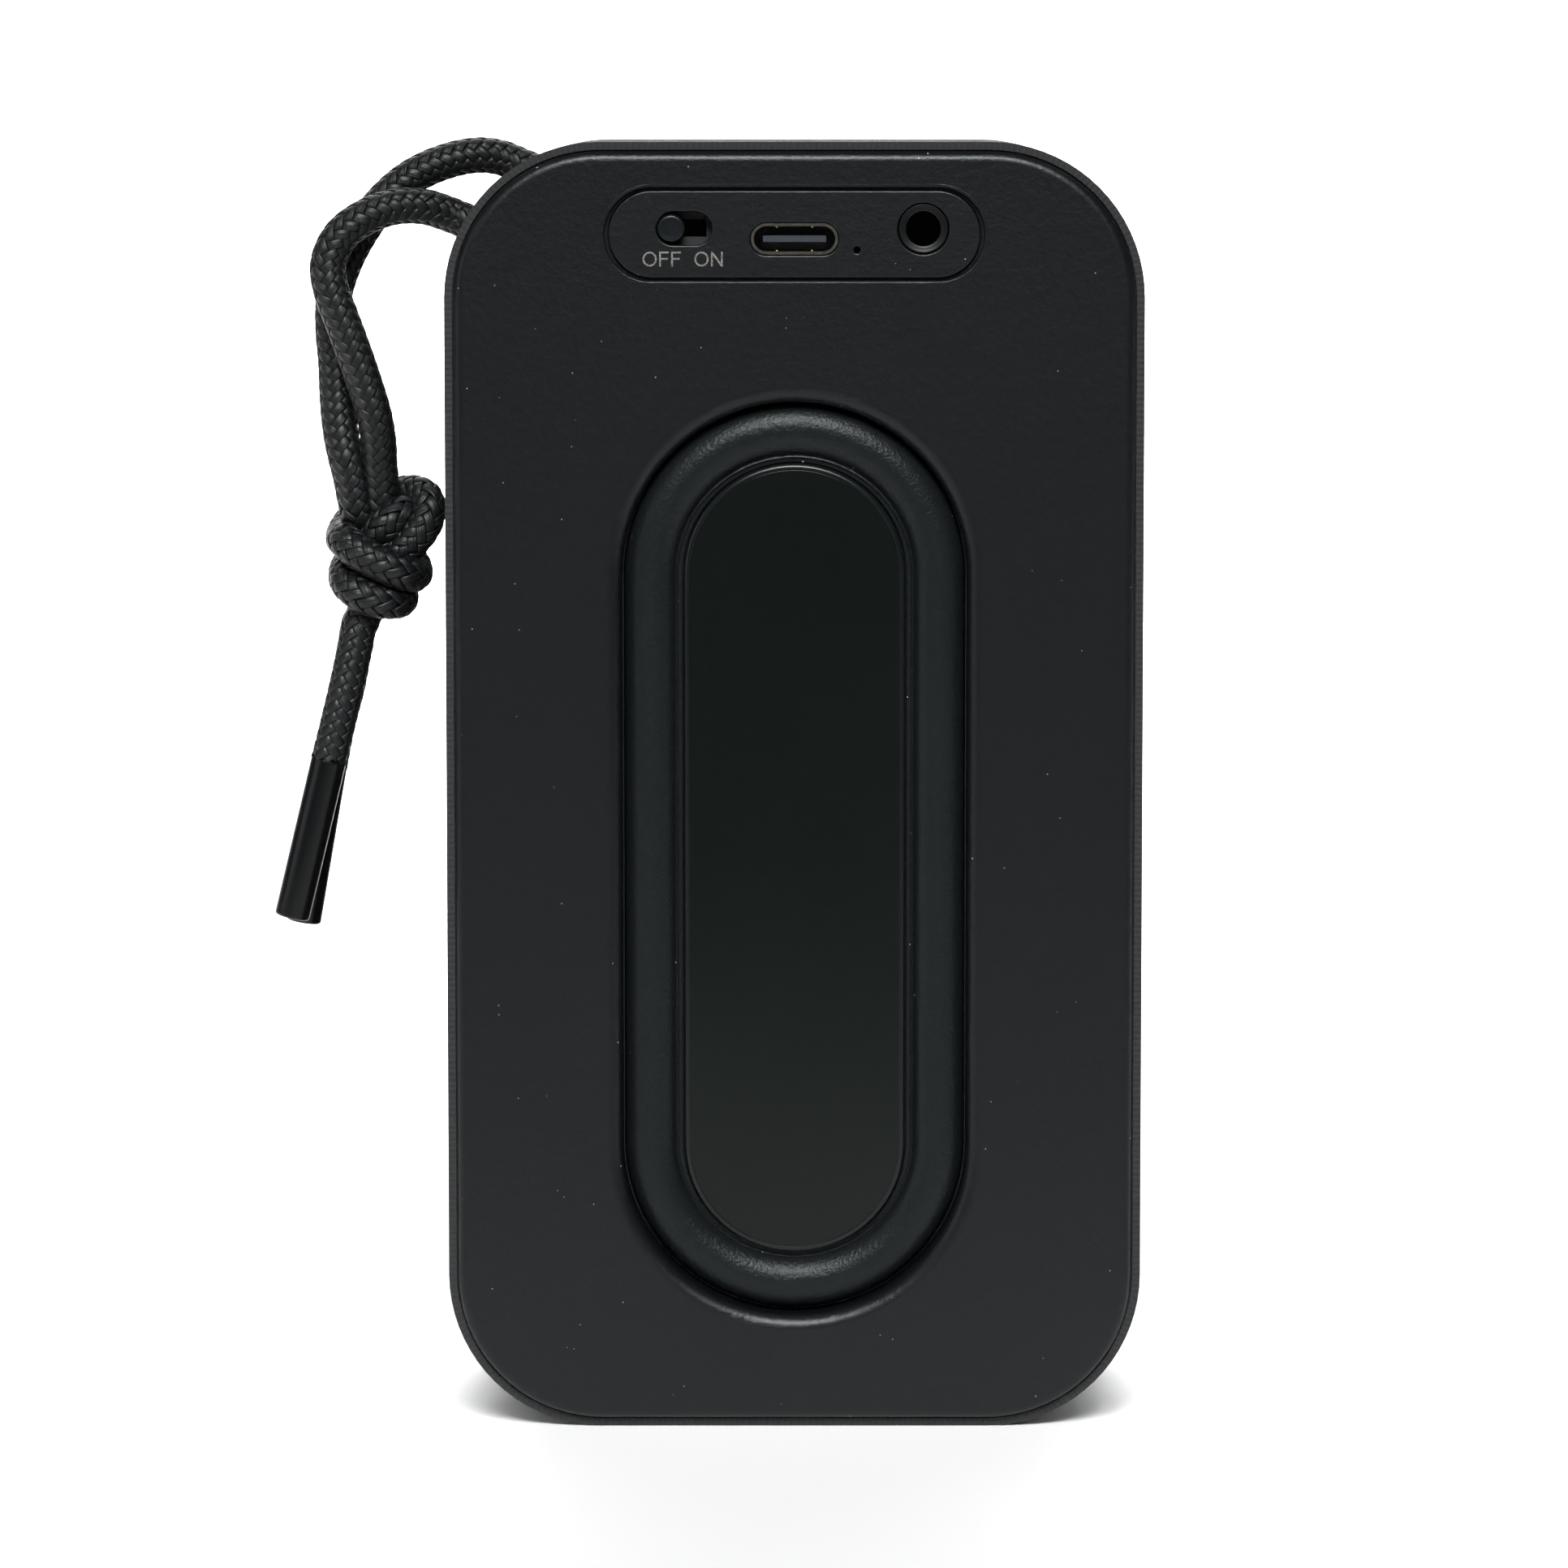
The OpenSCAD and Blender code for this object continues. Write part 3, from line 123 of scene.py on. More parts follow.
# The knot's outline seen from the rear: height, and how far left and right a strand's edge goes
knot_left = [(-8, -4.1), (-7, -4), (-6.5, -3.9), (-5.8, -4.3), (-5, -5.2), (-4, -5.75),
    (-3, -5.9), (-2, -5.6), (-1.3, -5.2), (-1, -5.1), (0, -5.7), (1, -5.85), (2, -5.7), (3, -5.1),
    (3.85, -4.44), (5.1, -4.5), (6.4, -4.85), (7.7, -5.2), (9, -5.5)]
knot_right = [(-8, -0.5), (-7.1, -0.2), (-7, 1.8), (-6.6, 2.7), (-6, 3.2), (-5.5, 3.6), (-5, 3.8),
    (-4.1, 3.9), (-3.5, 4.6), (-3, 5), (-2.5, 5.3), (-1.7, 5.5), (-1, 5.3), (-0.5, 5.1), (0.2, 5),
    (1, 5.6), (2, 6.1), (3, 6.5), (4, 6.6), (5, 6.55), (6, 6.3), (7, 5.2), (7.5, 3.9), (7.6, 1.6),
    (8, 1.55)]


def even_points(line, step=None):
    """Points spread evenly along a line: one for each step, or as many as the line has."""
    length = np.r_[0, np.cumsum(np.linalg.norm(np.diff(line, axis=0), axis=1))]
    count = max(2, round(length[-1] / step) + 1) if step else len(line)
    places = np.linspace(0, length[-1], count)
    return np.stack([np.interp(places, length, line[:, axis]) for axis in range(3)], 1)


def smooth_line(points, step):
    """Even points along a curve through the given ones, with no overshoot at close points."""
    points = np.asarray(points, float)
    knots = np.r_[0, np.cumsum(np.sqrt(np.linalg.norm(np.diff(points, axis=0), axis=1)))]
    slopes = np.diff(points, axis=0) / np.diff(knots)[:, None]
    before, after = np.diff(knots)[:-1, None], np.diff(knots)[1:, None]
    inner = (slopes[:-1] * after + slopes[1:] * before) / (before + after)
    tangents = np.vstack([slopes[:1], inner, slopes[-1:]])
    line = []
    for i, gap in enumerate(np.diff(knots)):
        s = np.linspace(0, 1, 40, endpoint=False)[:, None]
        line.append((2 * s**3 - 3 * s**2 + 1) * points[i]
            + (s**3 - 2 * s**2 + s) * gap * tangents[i]
            + (3 * s**2 - 2 * s**3) * points[i + 1] + (s**3 - s**2) * gap * tangents[i + 1])
    return even_points(np.vstack([*line, points[-1:]]), step)


def inside_outline(line, free):
    """Moves a strand's points back inside the knot's outline."""
    right, up = line[:, 0] - KNOT_MIDDLE[0], line[:, 2] - KNOT_MIDDLE[2]
    low = np.interp(up, *np.array(knot_left).T) + ROPE_SIDE
    high = np.maximum(np.interp(up, *np.array(knot_right).T) - ROPE_SIDE, low + 0.2)
    line[free, 0] += (0.5 * (np.clip(right, low, high) - right))[free]
    capped = free & (right > -0.5) & ((right > 1) | (up < 6))  # not the strands that come and go
    line[capped, 2] += (0.5 * (np.clip(up, TURNS_BOTTOM, TURNS_TOP) - up))[capped]


def bends(points):
    """How far the middle of each point's neighbours lies from it."""
    off = np.zeros_like(points)
    off[1:-1] = (points[:-2] + points[2:]) / 2 - points[1:-1]
    return off


def tie_knot(strands, guides, rounds=600):
    """Draws the strands tight: they follow their guides, bend evenly and push each other apart."""
    count = [len(strand) for strand in strands]
    owner = np.repeat(range(len(strands)), count)
    place = np.concatenate([np.arange(n) for n in count])
    apart = (owner[:, None] != owner) | (abs(place[:, None] - place) > 5)
    free = [(s[:, 2] < KNOT_MIDDLE[2] + KNOT_TOP) & (s[:, 2] > KNOT_MIDDLE[2] + KNOT_BOTTOM)
        for s in strands]
    near = [[int(np.argmin(np.linalg.norm(s - g[:3], axis=1))) for g in guide]
        for s, guide in zip(strands, guides)]
    for turn in range(rounds):
        for s, guide, at, loose in zip(strands, guides, near, free):
            for j, g in enumerate(guide):
                first = max(0, at[j] - 3)
                far = np.linalg.norm(s[first:at[j] + 4] - g[:3], axis=1)
                k = at[j] = first + int(np.argmin(far))
                pull = (g[:3] - s[k]) * g[3] * GUIDE_PULL
                for i, share in ((k, 1), (k - 1, 0.5), (k + 1, 0.5)):
                    if 0 <= i < len(s) and loose[i]:
                        s[i] += pull * share
            bend = bends(s)
            s[loose] += (EVEN_OUT * bend - STIFFNESS * bends(bend))[loose]
            inside_outline(s, loose)
        every = np.concatenate(strands)
        away = every[:, None] - every
        gap = np.linalg.norm(away, axis=2) + 1e-9
        push = np.where(apart & (gap < ROPE_PACKED), ROPE_PACKED - gap, 0)
        move = (away / gap[..., None] * push[..., None]).sum(1)
        move *= PUSH_APART / np.maximum((push > 0).sum(1), 1)[:, None]
        for s, loose, shift in zip(strands, free, np.split(move, np.cumsum(count)[:-1])):
            s[loose] += shift[loose]
            if turn % 5 == 4:
                first, last = np.argmax(loose) - 1, len(s) - np.argmax(loose[::-1])
                s[first:last + 1] = even_points(s[first:last + 1])
    for s, loose in zip(strands, free):  # takes out the last kinks
        for _ in range(5):
            s[loose] += 0.4 * bends(s)[loose]
    return strands


def knot_guides(points):
    """Places in the knot as (x, y, z, hold) in the object's own frame, in mm."""
    return np.array([[*(KNOT_MIDDLE + (right, away, up)), hold]
        for right, up, away, hold in points])


guides = [knot_guides(left_in_knot), knot_guides(right_in_knot)]
strands = tie_knot([smooth_line([*upper_strand, *guides[0][:, :3], *rear_tail], ROPE_STEP),
    smooth_line([*lower_strand, *guides[1][:, :3], *front_tail], ROPE_STEP)], guides)


def linear(code):
    """A colour given as sRGB hex, as Blender's linear numbers."""
    parts = [int(code[i:i + 2], 16) / 255 for i in (1, 3, 5)]
    return (*[p / 12.92 if p <= 0.04045 else ((p + 0.055) / 1.055) ** 2.4 for p in parts], 1)


MATH, VECTOR_MATH = "ShaderNodeMath", "ShaderNodeVectorMath"


def add(tree, kind, inputs=(), **settings):
    """Adds a node with its settings. Each input, in order or by name, takes a value, or the
    socket or node that is linked to it."""
    made = tree.nodes.new(kind)
    for name, value in settings.items():
        setattr(made, name, value)
    for name, value in (inputs if isinstance(inputs, dict) else dict(enumerate(inputs))).items():
        if isinstance(value, bpy.types.Node):
            value = value.outputs[0]
        if isinstance(value, bpy.types.NodeSocket):
            tree.links.new(value, made.inputs[name])
        else:
            made.inputs[name].default_value = value
    return made


def new_material(name, colour, roughness, **surface):
    """A material with its shader's own values set; returns its tree and its shader too."""
    made = bpy.data.materials.new(name)
    made.use_nodes = True
    tree = made.node_tree
    shader = tree.nodes["Principled BSDF"]
    shader.inputs["Base Color"].default_value = linear(colour)
    shader.inputs["Roughness"].default_value = roughness
    for socket, value in surface.items():
        shader.inputs[socket.replace("_", " ")].default_value = value
    return made, tree, shader


# Braided polyester filament yarn: silky floats with fine streaks along each yarn
cord_yarn, tree, shader = new_material("cord_yarn_polyester", "#141517", 0.42,
    Specular_IOR_Level=0.33)
lie = add(tree, "ShaderNodeAttribute", attribute_name="yarn")
stretched = add(tree, "ShaderNodeMapping", {"Vector": lie.outputs["Vector"],
    "Scale": (14, 0.5, 1)})
filaments = add(tree, "ShaderNodeTexNoise", {"Vector": stretched, "Scale": 1.0, "Detail": 3})
tint = add(tree, "ShaderNodeMix", {0: filaments.outputs["Fac"], 6: linear("#030404"),
    7: linear("#0f1113")}, data_type="RGBA")
ridges = add(tree, "ShaderNodeBump", {"Height": filaments.outputs["Fac"], "Strength": 0.9,
    "Distance": 0.07 * MM})
tree.links.new(tint.outputs[2], shader.inputs["Base Color"])
tree.links.new(ridges.outputs[0], shader.inputs["Normal"])


def node_tree(name, **sizes):
    """A Geometry Nodes tree that takes a shape and named sizes; returns it and its input."""
    tree = bpy.data.node_groups.new(name, "GeometryNodeTree")
    tree.interface.new_socket("Geometry", in_out="INPUT", socket_type="NodeSocketGeometry")
    tree.interface.new_socket("Geometry", in_out="OUTPUT", socket_type="NodeSocketGeometry")
    for size, value in sizes.items():
        kind = "NodeSocketInt" if isinstance(value, int) else "NodeSocketFloat"
        tree.interface.new_socket(size, in_out="INPUT", socket_type=kind).default_value = value
    return tree, tree.nodes.new("NodeGroupInput")


def finish_tree(tree, geometry, material):
    """Ends a tree in Realize Instances and Set Material."""
    real = add(tree, "GeometryNodeRealizeInstances", [geometry])
    painted = add(tree, "GeometryNodeSetMaterial", {"Geometry": real, "Material": material})
    add(tree, "NodeGroupOutput", [painted])


def evaluated(item):
    """An object's mesh as its modifiers leave it."""
    bpy.context.view_layer.update()
    graph = bpy.context.evaluated_depsgraph_get()
    return bpy.data.meshes.new_from_object(item.evaluated_get(graph))


def grow(name, start, tree, material, **sizes):
    """Runs a tree on an object and returns the result as a plain mesh object of that name."""
    modifier = start.modifiers.new(tree.name, "NODES")
    modifier.node_group = tree
    for item in tree.interface.items_tree:
        if item.item_type == "SOCKET" and item.in_out == "INPUT" and item.name in sizes:
            modifier[item.identifier] = sizes[item.name]
    mesh = evaluated(start)
    bpy.data.objects.remove(start)
    mesh.name = name
    if not mesh.materials:
        mesh.materials.append(material)
    return in_scene(name, mesh)


def curve_object(name, points):
    """A curve through points given in metres."""
    data = bpy.data.curves.new(name, "CURVE")
    data.dimensions = "3D"
    spline = data.splines.new("POLY")
    spline.points.add(len(points) - 1)
    spline.points.foreach_set("co", np.c_[points, np.ones(len(points))].ravel())
    return in_scene(name, data)


# The sheath: 16 copies of the middle line are wound round it, eight each way. A yarn lies high
# where the cosine of four times its angle is high, and one of the other way lies low there.
braid, sizes = node_tree("braided_sheath", Lay=BRAID_LAY, Middle=1.57 * MM, Rise=0.18 * MM,
    Yarn_Width=1.12 * MM, Yarn_Thickness=0.3 * MM, Core=1.36 * MM, Segments=44)
line = add(braid, "GeometryNodeCurveSplineType", [sizes.outputs["Geometry"]],
    spline_type="CATMULL_ROM")
line = add(braid, "GeometryNodeSetSplineResolution", {0: line, "Resolution": 6})
total = add(braid, "GeometryNodeCurveLength", [line])
turns = add(braid, MATH, [total, sizes.outputs["Lay"]], operation="DIVIDE")
count = add(braid, MATH, [turns, sizes.outputs["Segments"]], operation="MULTIPLY")
line = add(braid, "GeometryNodeResampleCurve", {0: line, "Count": count}, mode="COUNT")
line = add(braid, "GeometryNodeSetCurveNormal", [line], mode="MINIMUM_TWIST")
kept = add(braid, "GeometryNodeCaptureAttribute", [line])
for socket, kind in (("middle", "Position"), ("normal", "Normal"), ("tangent", "Tangent")):
    kept.capture_items.new("VECTOR", socket)
    braid.links.new(add(braid, "GeometryNodeInput" + kind).outputs[0], kept.inputs[socket])
kept.capture_items.new("FLOAT", "along")
braid.links.new(add(braid, "GeometryNodeSplineParameter").outputs["Length"], kept.inputs["along"])
copies = add(braid, "GeometryNodeDuplicateElements", {0: kept, "Amount": CARRIERS},
    domain="SPLINE")
number = copies.outputs["Duplicate Index"]
way = add(braid, MATH, [number, CARRIERS / 2 - 0.5], operation="LESS_THAN")
way = add(braid, MATH, [way, 2.0, -1.0], operation="MULTIPLY_ADD")
twist = add(braid, MATH, [kept.outputs["along"], sizes.outputs["Lay"]], operation="DIVIDE")
twist = add(braid, MATH, [twist, math.tau], operation="MULTIPLY")
twist = add(braid, MATH, [way, twist], operation="MULTIPLY")
angle = add(braid, MATH, [number, math.tau / (CARRIERS / 2), twist], operation="MULTIPLY_ADD")
wave = add(braid, MATH, [angle, CARRIERS / 4, -math.pi / 4], operation="MULTIPLY_ADD")
wave = add(braid, MATH, [wave], operation="COSINE")
wave = add(braid, MATH, [wave, FLOAT_STEEPNESS], operation="MULTIPLY")
wave = add(braid, MATH, [wave], operation="ARCTANGENT")
wave = add(braid, MATH, [wave, math.atan(FLOAT_STEEPNESS)], operation="DIVIDE")
wave = add(braid, MATH, [wave, way], operation="MULTIPLY")
radius = add(braid, MATH, [wave, sizes.outputs["Rise"], sizes.outputs["Middle"]],
    operation="MULTIPLY_ADD")
side = add(braid, VECTOR_MATH, [kept.outputs["tangent"], kept.outputs["normal"]],
    operation="CROSS_PRODUCT")
parts = []
for direction, share in ((kept.outputs["normal"], "COSINE"), (side, "SINE")):
    share = add(braid, MATH, [angle], operation=share)
    parts.append(add(braid, VECTOR_MATH, {0: direction, "Scale": share}, operation="SCALE"))
outward = add(braid, VECTOR_MATH, parts, operation="ADD")
reach = add(braid, VECTOR_MATH, {0: outward, "Scale": radius}, operation="SCALE")
place = add(braid, VECTOR_MATH, [kept.outputs["middle"], reach], operation="ADD")
wound = add(braid, "GeometryNodeSetPosition", {0: copies, "Position": place})
wound = add(braid, "GeometryNodeSetCurveNormal", {0: wound, "Normal": outward}, mode="FREE")
ring = add(braid, "GeometryNodeCurvePrimitiveCircle", {"Resolution": 8, "Radius": 0.5})
oval = add(braid, "ShaderNodeCombineXYZ", [sizes.outputs["Yarn_Thickness"],
    sizes.outputs["Yarn_Width"], 1.0])
ring = add(braid, "GeometryNodeTransform", {0: ring, "Scale": oval})
section = add(braid, "GeometryNodeCaptureAttribute", [ring])
section.capture_items.new("FLOAT", "across")
braid.links.new(add(braid, "GeometryNodeSplineParameter").outputs["Factor"],
    section.inputs["across"])
yarns = add(braid, "GeometryNodeCurveToMesh", {0: wound, 1: section, "Fill Caps": True})
along_mm = add(braid, MATH, [kept.outputs["along"], 1000.0], operation="MULTIPLY")
lie = add(braid, "ShaderNodeCombineXYZ", [section.outputs["across"], along_mm, 0.0])
yarns = add(braid, "GeometryNodeStoreNamedAttribute", {0: yarns, "Name": "yarn", "Value": lie},
    data_type="FLOAT2", domain="CORNER")
core_ring = add(braid, "GeometryNodeCurvePrimitiveCircle", {"Resolution": 12,
    "Radius": sizes.outputs["Core"]})
core = add(braid, "GeometryNodeCurveToMesh", {0: line, 1: core_ring, "Fill Caps": True})
both = add(braid, "GeometryNodeJoinGeometry", [yarns])
braid.links.new(core.outputs[0], both.inputs[0])
smooth = add(braid, "GeometryNodeSetShadeSmooth", [both])
finish_tree(braid, smooth, cord_yarn)

for name, line, covers in (
        ("cord_strand_upper", strands[0], ("cord_upper", "tail_rear")),
        ("cord_strand_lower", strands[1], ("cord_lower", "cord_knot", "tail_front"))):
    cord = grow(name, curve_object(name + "_line", line * MM), braid, cord_yarn)
    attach(cord, "case")
    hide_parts(*covers)

# Inside the case the cord goes round the pin from one eyelet to the other
pin = sum(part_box("anchor_pin"), Vector()) / 2 / MM
out_way, side_way = np.array((-0.927, 0, 0.375)), np.array((0.375, 0, 0.927))
ROUND_PIN = 3.69  # mm from the pin's middle to the cord's
bight = [np.array((pin.x, -8 + 5 * a / math.pi, pin.z))
    - ROUND_PIN * (math.cos(a) * side_way + math.sin(a) * out_way)
    for a in np.linspace(0, math.pi, 13)]
bight = even_points(np.array([lower_strand[0], *bight, upper_strand[0]]), ROPE_STEP)
loop = grow("cord_bight_sheath", curve_object("cord_bight_line", bight * MM), braid, cord_yarn)
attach(loop, "case")
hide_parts("cord_bight")

# ---- Aglets ----
# A sleeve of smooth black tube shrunk onto each end of the cord. Its far end is rounded inwards
# and its near end stands a little off the sheath.
AGLET_R, AGLET_ROUND = 1.85 * MM, 0.35 * MM


def join_rings(shape, rings, smooth=True):
    """Joins each ring of points to the next one with faces. A ring of one point is a pole."""
    faces = []
    for low, high in zip(rings, rings[1:]):
        for k in range(max(len(low), len(high))):
            corners = [low[k % len(low)], low[(k + 1) % len(low)], high[(k + 1) % len(high)],
                high[k % len(high)]]
            faces.append(shape.faces.new(list(dict.fromkeys(corners))))
            faces[-1].smooth = smooth
    return faces


def turned(name, profile, start, end, steps=48):
    """Turns (distance along, radius) points about the line from start to end: a closed piece."""
    start, end = Vector(start), Vector(end)
    axis = (end - start).normalized()
    side = axis.orthogonal().normalized()
    up = axis.cross(side)
    shape = bmesh.new()
    rings = []
    for far, wide in profile:
        middle = start + axis * far
        if wide == 0:
            rings.append([shape.verts.new(middle)])
        else:
            rings.append([shape.verts.new(middle + wide * (math.cos(t) * side + math.sin(t) * up))
                for t in np.linspace(0, math.tau, steps, endpoint=False)])
    join_rings(shape, rings)
    bmesh.ops.recalc_face_normals(shape, faces=shape.faces)
    return from_shape(name, shape)


def eased(piece, angle=50):
    """Shades soft edges smoothly into the flat faces beside them, which stay exactly flat."""
    piece.data.set_sharp_from_angle(angle=math.radians(angle))
    modifier = piece.modifiers.new("eased", "WEIGHTED_NORMAL")
    modifier.keep_sharp, modifier.weight = True, 100
    mesh = evaluated(piece)
    piece.modifiers.clear()
    piece.data = mesh
    level = {v: face.normal.copy() for face in mesh.polygons
        if abs(face.normal.y) > 0.9999 for v in face.vertices}
    normals = [corner.vector.copy() for corner in mesh.corner_normals]
    for face in mesh.polygons:
        for k in face.loop_indices:
            straight = level.get(mesh.loops[k].vertex_index)
            if straight and straight.dot(face.normal) > math.cos(math.radians(angle)):
                normals[k] = straight
    mesh.normals_split_custom_set(normals)
    return piece


def from_shape(name, shape, *materials):
    """Makes an object of a finished bmesh."""
    mesh = bpy.data.meshes.new(name)
    shape.to_mesh(mesh)
    shape.free()
    for made in materials:
        mesh.materials.append(made)
    return in_scene(name, mesh)


def roughened(tree, shader, scale, depth, strength, **noise):
    """Gives a surface a fine unevenness with its depth in mm, and returns its coordinates."""
    where = add(tree, "ShaderNodeTexCoord").outputs["Object"]
    spots = add(tree, "ShaderNodeTexNoise", {"Vector": where, "Scale": scale, **noise})
    bumps = add(tree, "ShaderNodeBump", {"Height": spots.outputs["Fac"], "Strength": strength,
        "Distance": depth * MM})
    tree.links.new(bumps.outputs[0], shader.inputs["Normal"])
    return where


# Heat-shrunk polyolefin tube: smooth satin black with a soft waviness along it
aglet_tube, tree, shader = new_material("aglet_shrunk_tube", "#060708", 0.27,
    Specular_IOR_Level=0.25)
roughened(tree, shader, 500, 0.05, 0.15, Detail=2)
for name, start, end in (("aglet_front", (-48.6, -12.2, 69.3), (-52.6, -12.2, 52.7)),
        ("aglet_rear", (-48.8, -7.9, 68.3), (-51.7, -7.9, 51.7))):
    start, end = Vector(start) * MM, Vector(end) * MM
    long = (end - start).length
    bend = [(long - AGLET_ROUND * (1 - math.sin(t)), AGLET_R - AGLET_ROUND * (1 - math.cos(t)))
        for t in np.linspace(0, math.pi / 2, 7)]
    rim = [(0.5 * MM, 0), (0.5 * MM, 1.5 * MM), (0.02 * MM, 1.66 * MM), (0, 1.74 * MM),
        (0.04 * MM, 1.82 * MM), (0.12 * MM, AGLET_R), (0.3 * MM, AGLET_R)]
    sleeve = turned(name + "_sleeve", [*rim, (long / 2, AGLET_R), *bend,
        (long, 1.1 * MM), (long - 0.12 * MM, 0.95 * MM), (long - 0.12 * MM, 0)], start, end)
    sleeve.data.materials.append(aglet_tube)
    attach(sleeve, "case")
    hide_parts(name)

# ---- Housing, driver, battery and boards ----
# Everything inside the sealed case: the moulded housing, the driver on its baffle, the cell
# taped above it, and two boards. It is screwed together from the front before the cloth goes on.


def dress(material, *nodes):
    """Gives CAD nodes a material in place of their plain ones."""
    for node in nodes:
        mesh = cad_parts[node].data
        if not mesh.materials:
            mesh.materials.append(material)
        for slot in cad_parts[node].material_slots:
            slot.material = material


def grained(name, colour, roughness, grain, depth, **surface):
    """A material with a fine random grain, sized in mm, and a faint change of tone."""
    made, tree, shader = new_material(name, colour, roughness, **surface)
    where = roughened(tree, shader, 1 / (grain * MM), depth, 0.6, Detail=2)
    cloudy = add(tree, "ShaderNodeTexNoise", {"Vector": where, "Scale": 60, "Detail": 3})
    shade = add(tree, "ShaderNodeMapRange", {"Value": cloudy.outputs["Fac"], "To Min": 0.85,
        "To Max": 1.15})
    tone = add(tree, "ShaderNodeHueSaturation", {"Value": shade, "Color": linear(colour)})
    tree.links.new(tone.outputs[0], shader.inputs["Base Color"])
    return made


# Moulded ABS: an even, matt charcoal with a soft grain
dress(grained("case_moulded_abs", "#202224", 0.55, 0.25, 0.02), "housing", "front_grille",
    "cord_eyelets")
# Foam rubber: a dull black that takes no highlight, darkened as painted shade for the groove round
# the radiator, where the seal shows
dress(grained("seal_rubber_painted_groove_shade", "#08090a", 0.95, 0.4, 0.05, Specular_IOR_Level=0.1),
    "cover_seal", "driver_gasket", "key_mat")
# Bright zinc on steel: a soft, pale metallic shine
dress(grained("zinc_plated_steel", "#a9acb0", 0.38, 0.5, 0.01, Metallic=1.0), "case_screws",
    "board_screws", "driver_screws", "anchor_pin", "top_plate", "yoke", "radiator_weight",
    "radio_can", "tact_switches")
# Sintered ferrite: dark grey and dry, like slate
dress(grained("ferrite_sintered", "#3a3b3d", 0.7, 0.3, 0.03), "ring_magnet")
# Stove paint on steel: satin grey, faintly uneven
dress(grained("basket_painted_steel", "#3a3d40", 0.45, 0.4, 0.02), "driver_basket")
# Butyl rubber: satin black
dress(grained("surround_rubber", "#161718", 0.5, 0.3, 0.02), "driver_surround")
# Pressed paper pulp: a fibrous, matt black
dress(grained("cone_pressed_pulp", "#111213", 0.85, 0.35, 0.06), "driver_cone", "dust_cap")
# Enamelled copper wire: a warm, lacquered gleam
dress(grained("coil_enamelled_copper", "#b0703a", 0.3, 0.12, 0.02, Metallic=1.0), "voice_coil")
# Cloth stiffened with resin: amber and rough
dress(grained("spider_stiffened_cloth", "#c9a24a", 0.8, 0.3, 0.05), "driver_spider")
# Fibre board: tan, dry and matt
dress(grained("tab_fibre_board", "#c79f62", 0.6, 0.2, 0.02), "driver_terminals")
# Soft PVC on the leads: smooth, with a waxy highlight
dress(grained("lead_pvc", "#303236", 0.45, 0.6, 0.01), "speaker_leads")
dress(grained("lead_red_pvc", "#b03028", 0.45, 0.6, 0.01), "battery_leads")
# Shrink foil over the cell: blue-grey, half metallic
dress(grained("cell_shrink_foil", "#5b6b7a", 0.35, 0.8, 0.02, Metallic=0.6), "battery_cell")
# Foam tape: a chalky white
dress(grained("tape_foam", "#e8e8e4", 0.9, 0.3, 0.05), "battery_tape")
# Solder mask on a glass-fibre board: a glossy dark green
dress(grained("board_solder_mask", "#173a2a", 0.35, 0.5, 0.01), "port_board", "main_board")
# Moulded epoxy: flat black blocks on the green
dress(grained("chip_epoxy", "#1a1a1a", 0.55, 0.1, 0.01), "board_chips")
# Nylon plug: ivory, with a slight sheen
dress(grained("plug_nylon", "#e6e0d0", 0.5, 0.3, 0.01), "board_link")
# The microphone: a matt black that takes no light, painted shade for the dark inside of its hole
dress(grained("microphone_painted_hole_shade", "#0a0a0a", 0.95, 0.2, 0.05), "microphone")

# ---- Cloth ----
# A knitted polyester cloth with a foam backing, bonded over the front and round all four sides.
# Its edge ends in the seam beside the rear cover.
cloth_low, cloth_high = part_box("fabric_wrap")
CLOTH_CORNER = 16 * MM
CLOTH_PITCH = 0.62 * MM  # two threads' spacing, about twice the real one, so that it shows
# Knitted polyester: a soft, dark mesh of small raised loops, with a faint sheen at its edges
cloth, tree, shader = new_material("cloth_knitted_polyester", "#1a1b1d", 0.8, Sheen_Weight=0.12,
    Sheen_Roughness=0.5)
where = add(tree, "ShaderNodeTexCoord").outputs["Object"]
half = (cloth_high - cloth_low) / 2
centred = add(tree, "ShaderNodeMapping", {"Vector": where,
    "Location": (0, 0, -(cloth_low.z + cloth_high.z) / 2)})
across, depth, height = add(tree, "ShaderNodeSeparateXYZ", [centred]).outputs
# How far round the sides a place lies, over the straights and the round corners
straight_x, straight_z = half.x - CLOTH_CORNER, half.z - CLOTH_CORNER
out_x, out_z = (add(tree, MATH, [axis], operation="ABSOLUTE") for axis in (across, height))
beyond_x = add(tree, MATH, [out_x, straight_x], operation="SUBTRACT")
beyond_z = add(tree, MATH, [out_z, straight_z], operation="SUBTRACT")
corner_x = add(tree, MATH, [beyond_x, 1e-6], operation="MAXIMUM")
corner_z = add(tree, MATH, [beyond_z, 0.0], operation="MAXIMUM")
turn = add(tree, MATH, [corner_z, corner_x], operation="ARCTAN2")
arc = add(tree, MATH, [turn, CLOTH_CORNER], operation="MULTIPLY")
up_side = add(tree, MATH, [out_z, straight_z], operation="MINIMUM")
along_top = add(tree, MATH, [beyond_x, 0.0], operation="MINIMUM")
around = add(tree, MATH, [up_side, arc], operation="ADD")
around = add(tree, MATH, [around, along_top], operation="SUBTRACT")
normal = add(tree, "ShaderNodeNewGeometry").outputs["True Normal"]
facing = add(tree, "ShaderNodeSeparateXYZ", [normal])
front = add(tree, MATH, [facing.outputs[1], 0.7], operation="GREATER_THAN")
rows = add(tree, "ShaderNodeMix", {0: front, 2: around, 3: across})
columns = add(tree, "ShaderNodeMix", {0: front, 2: depth, 3: height})
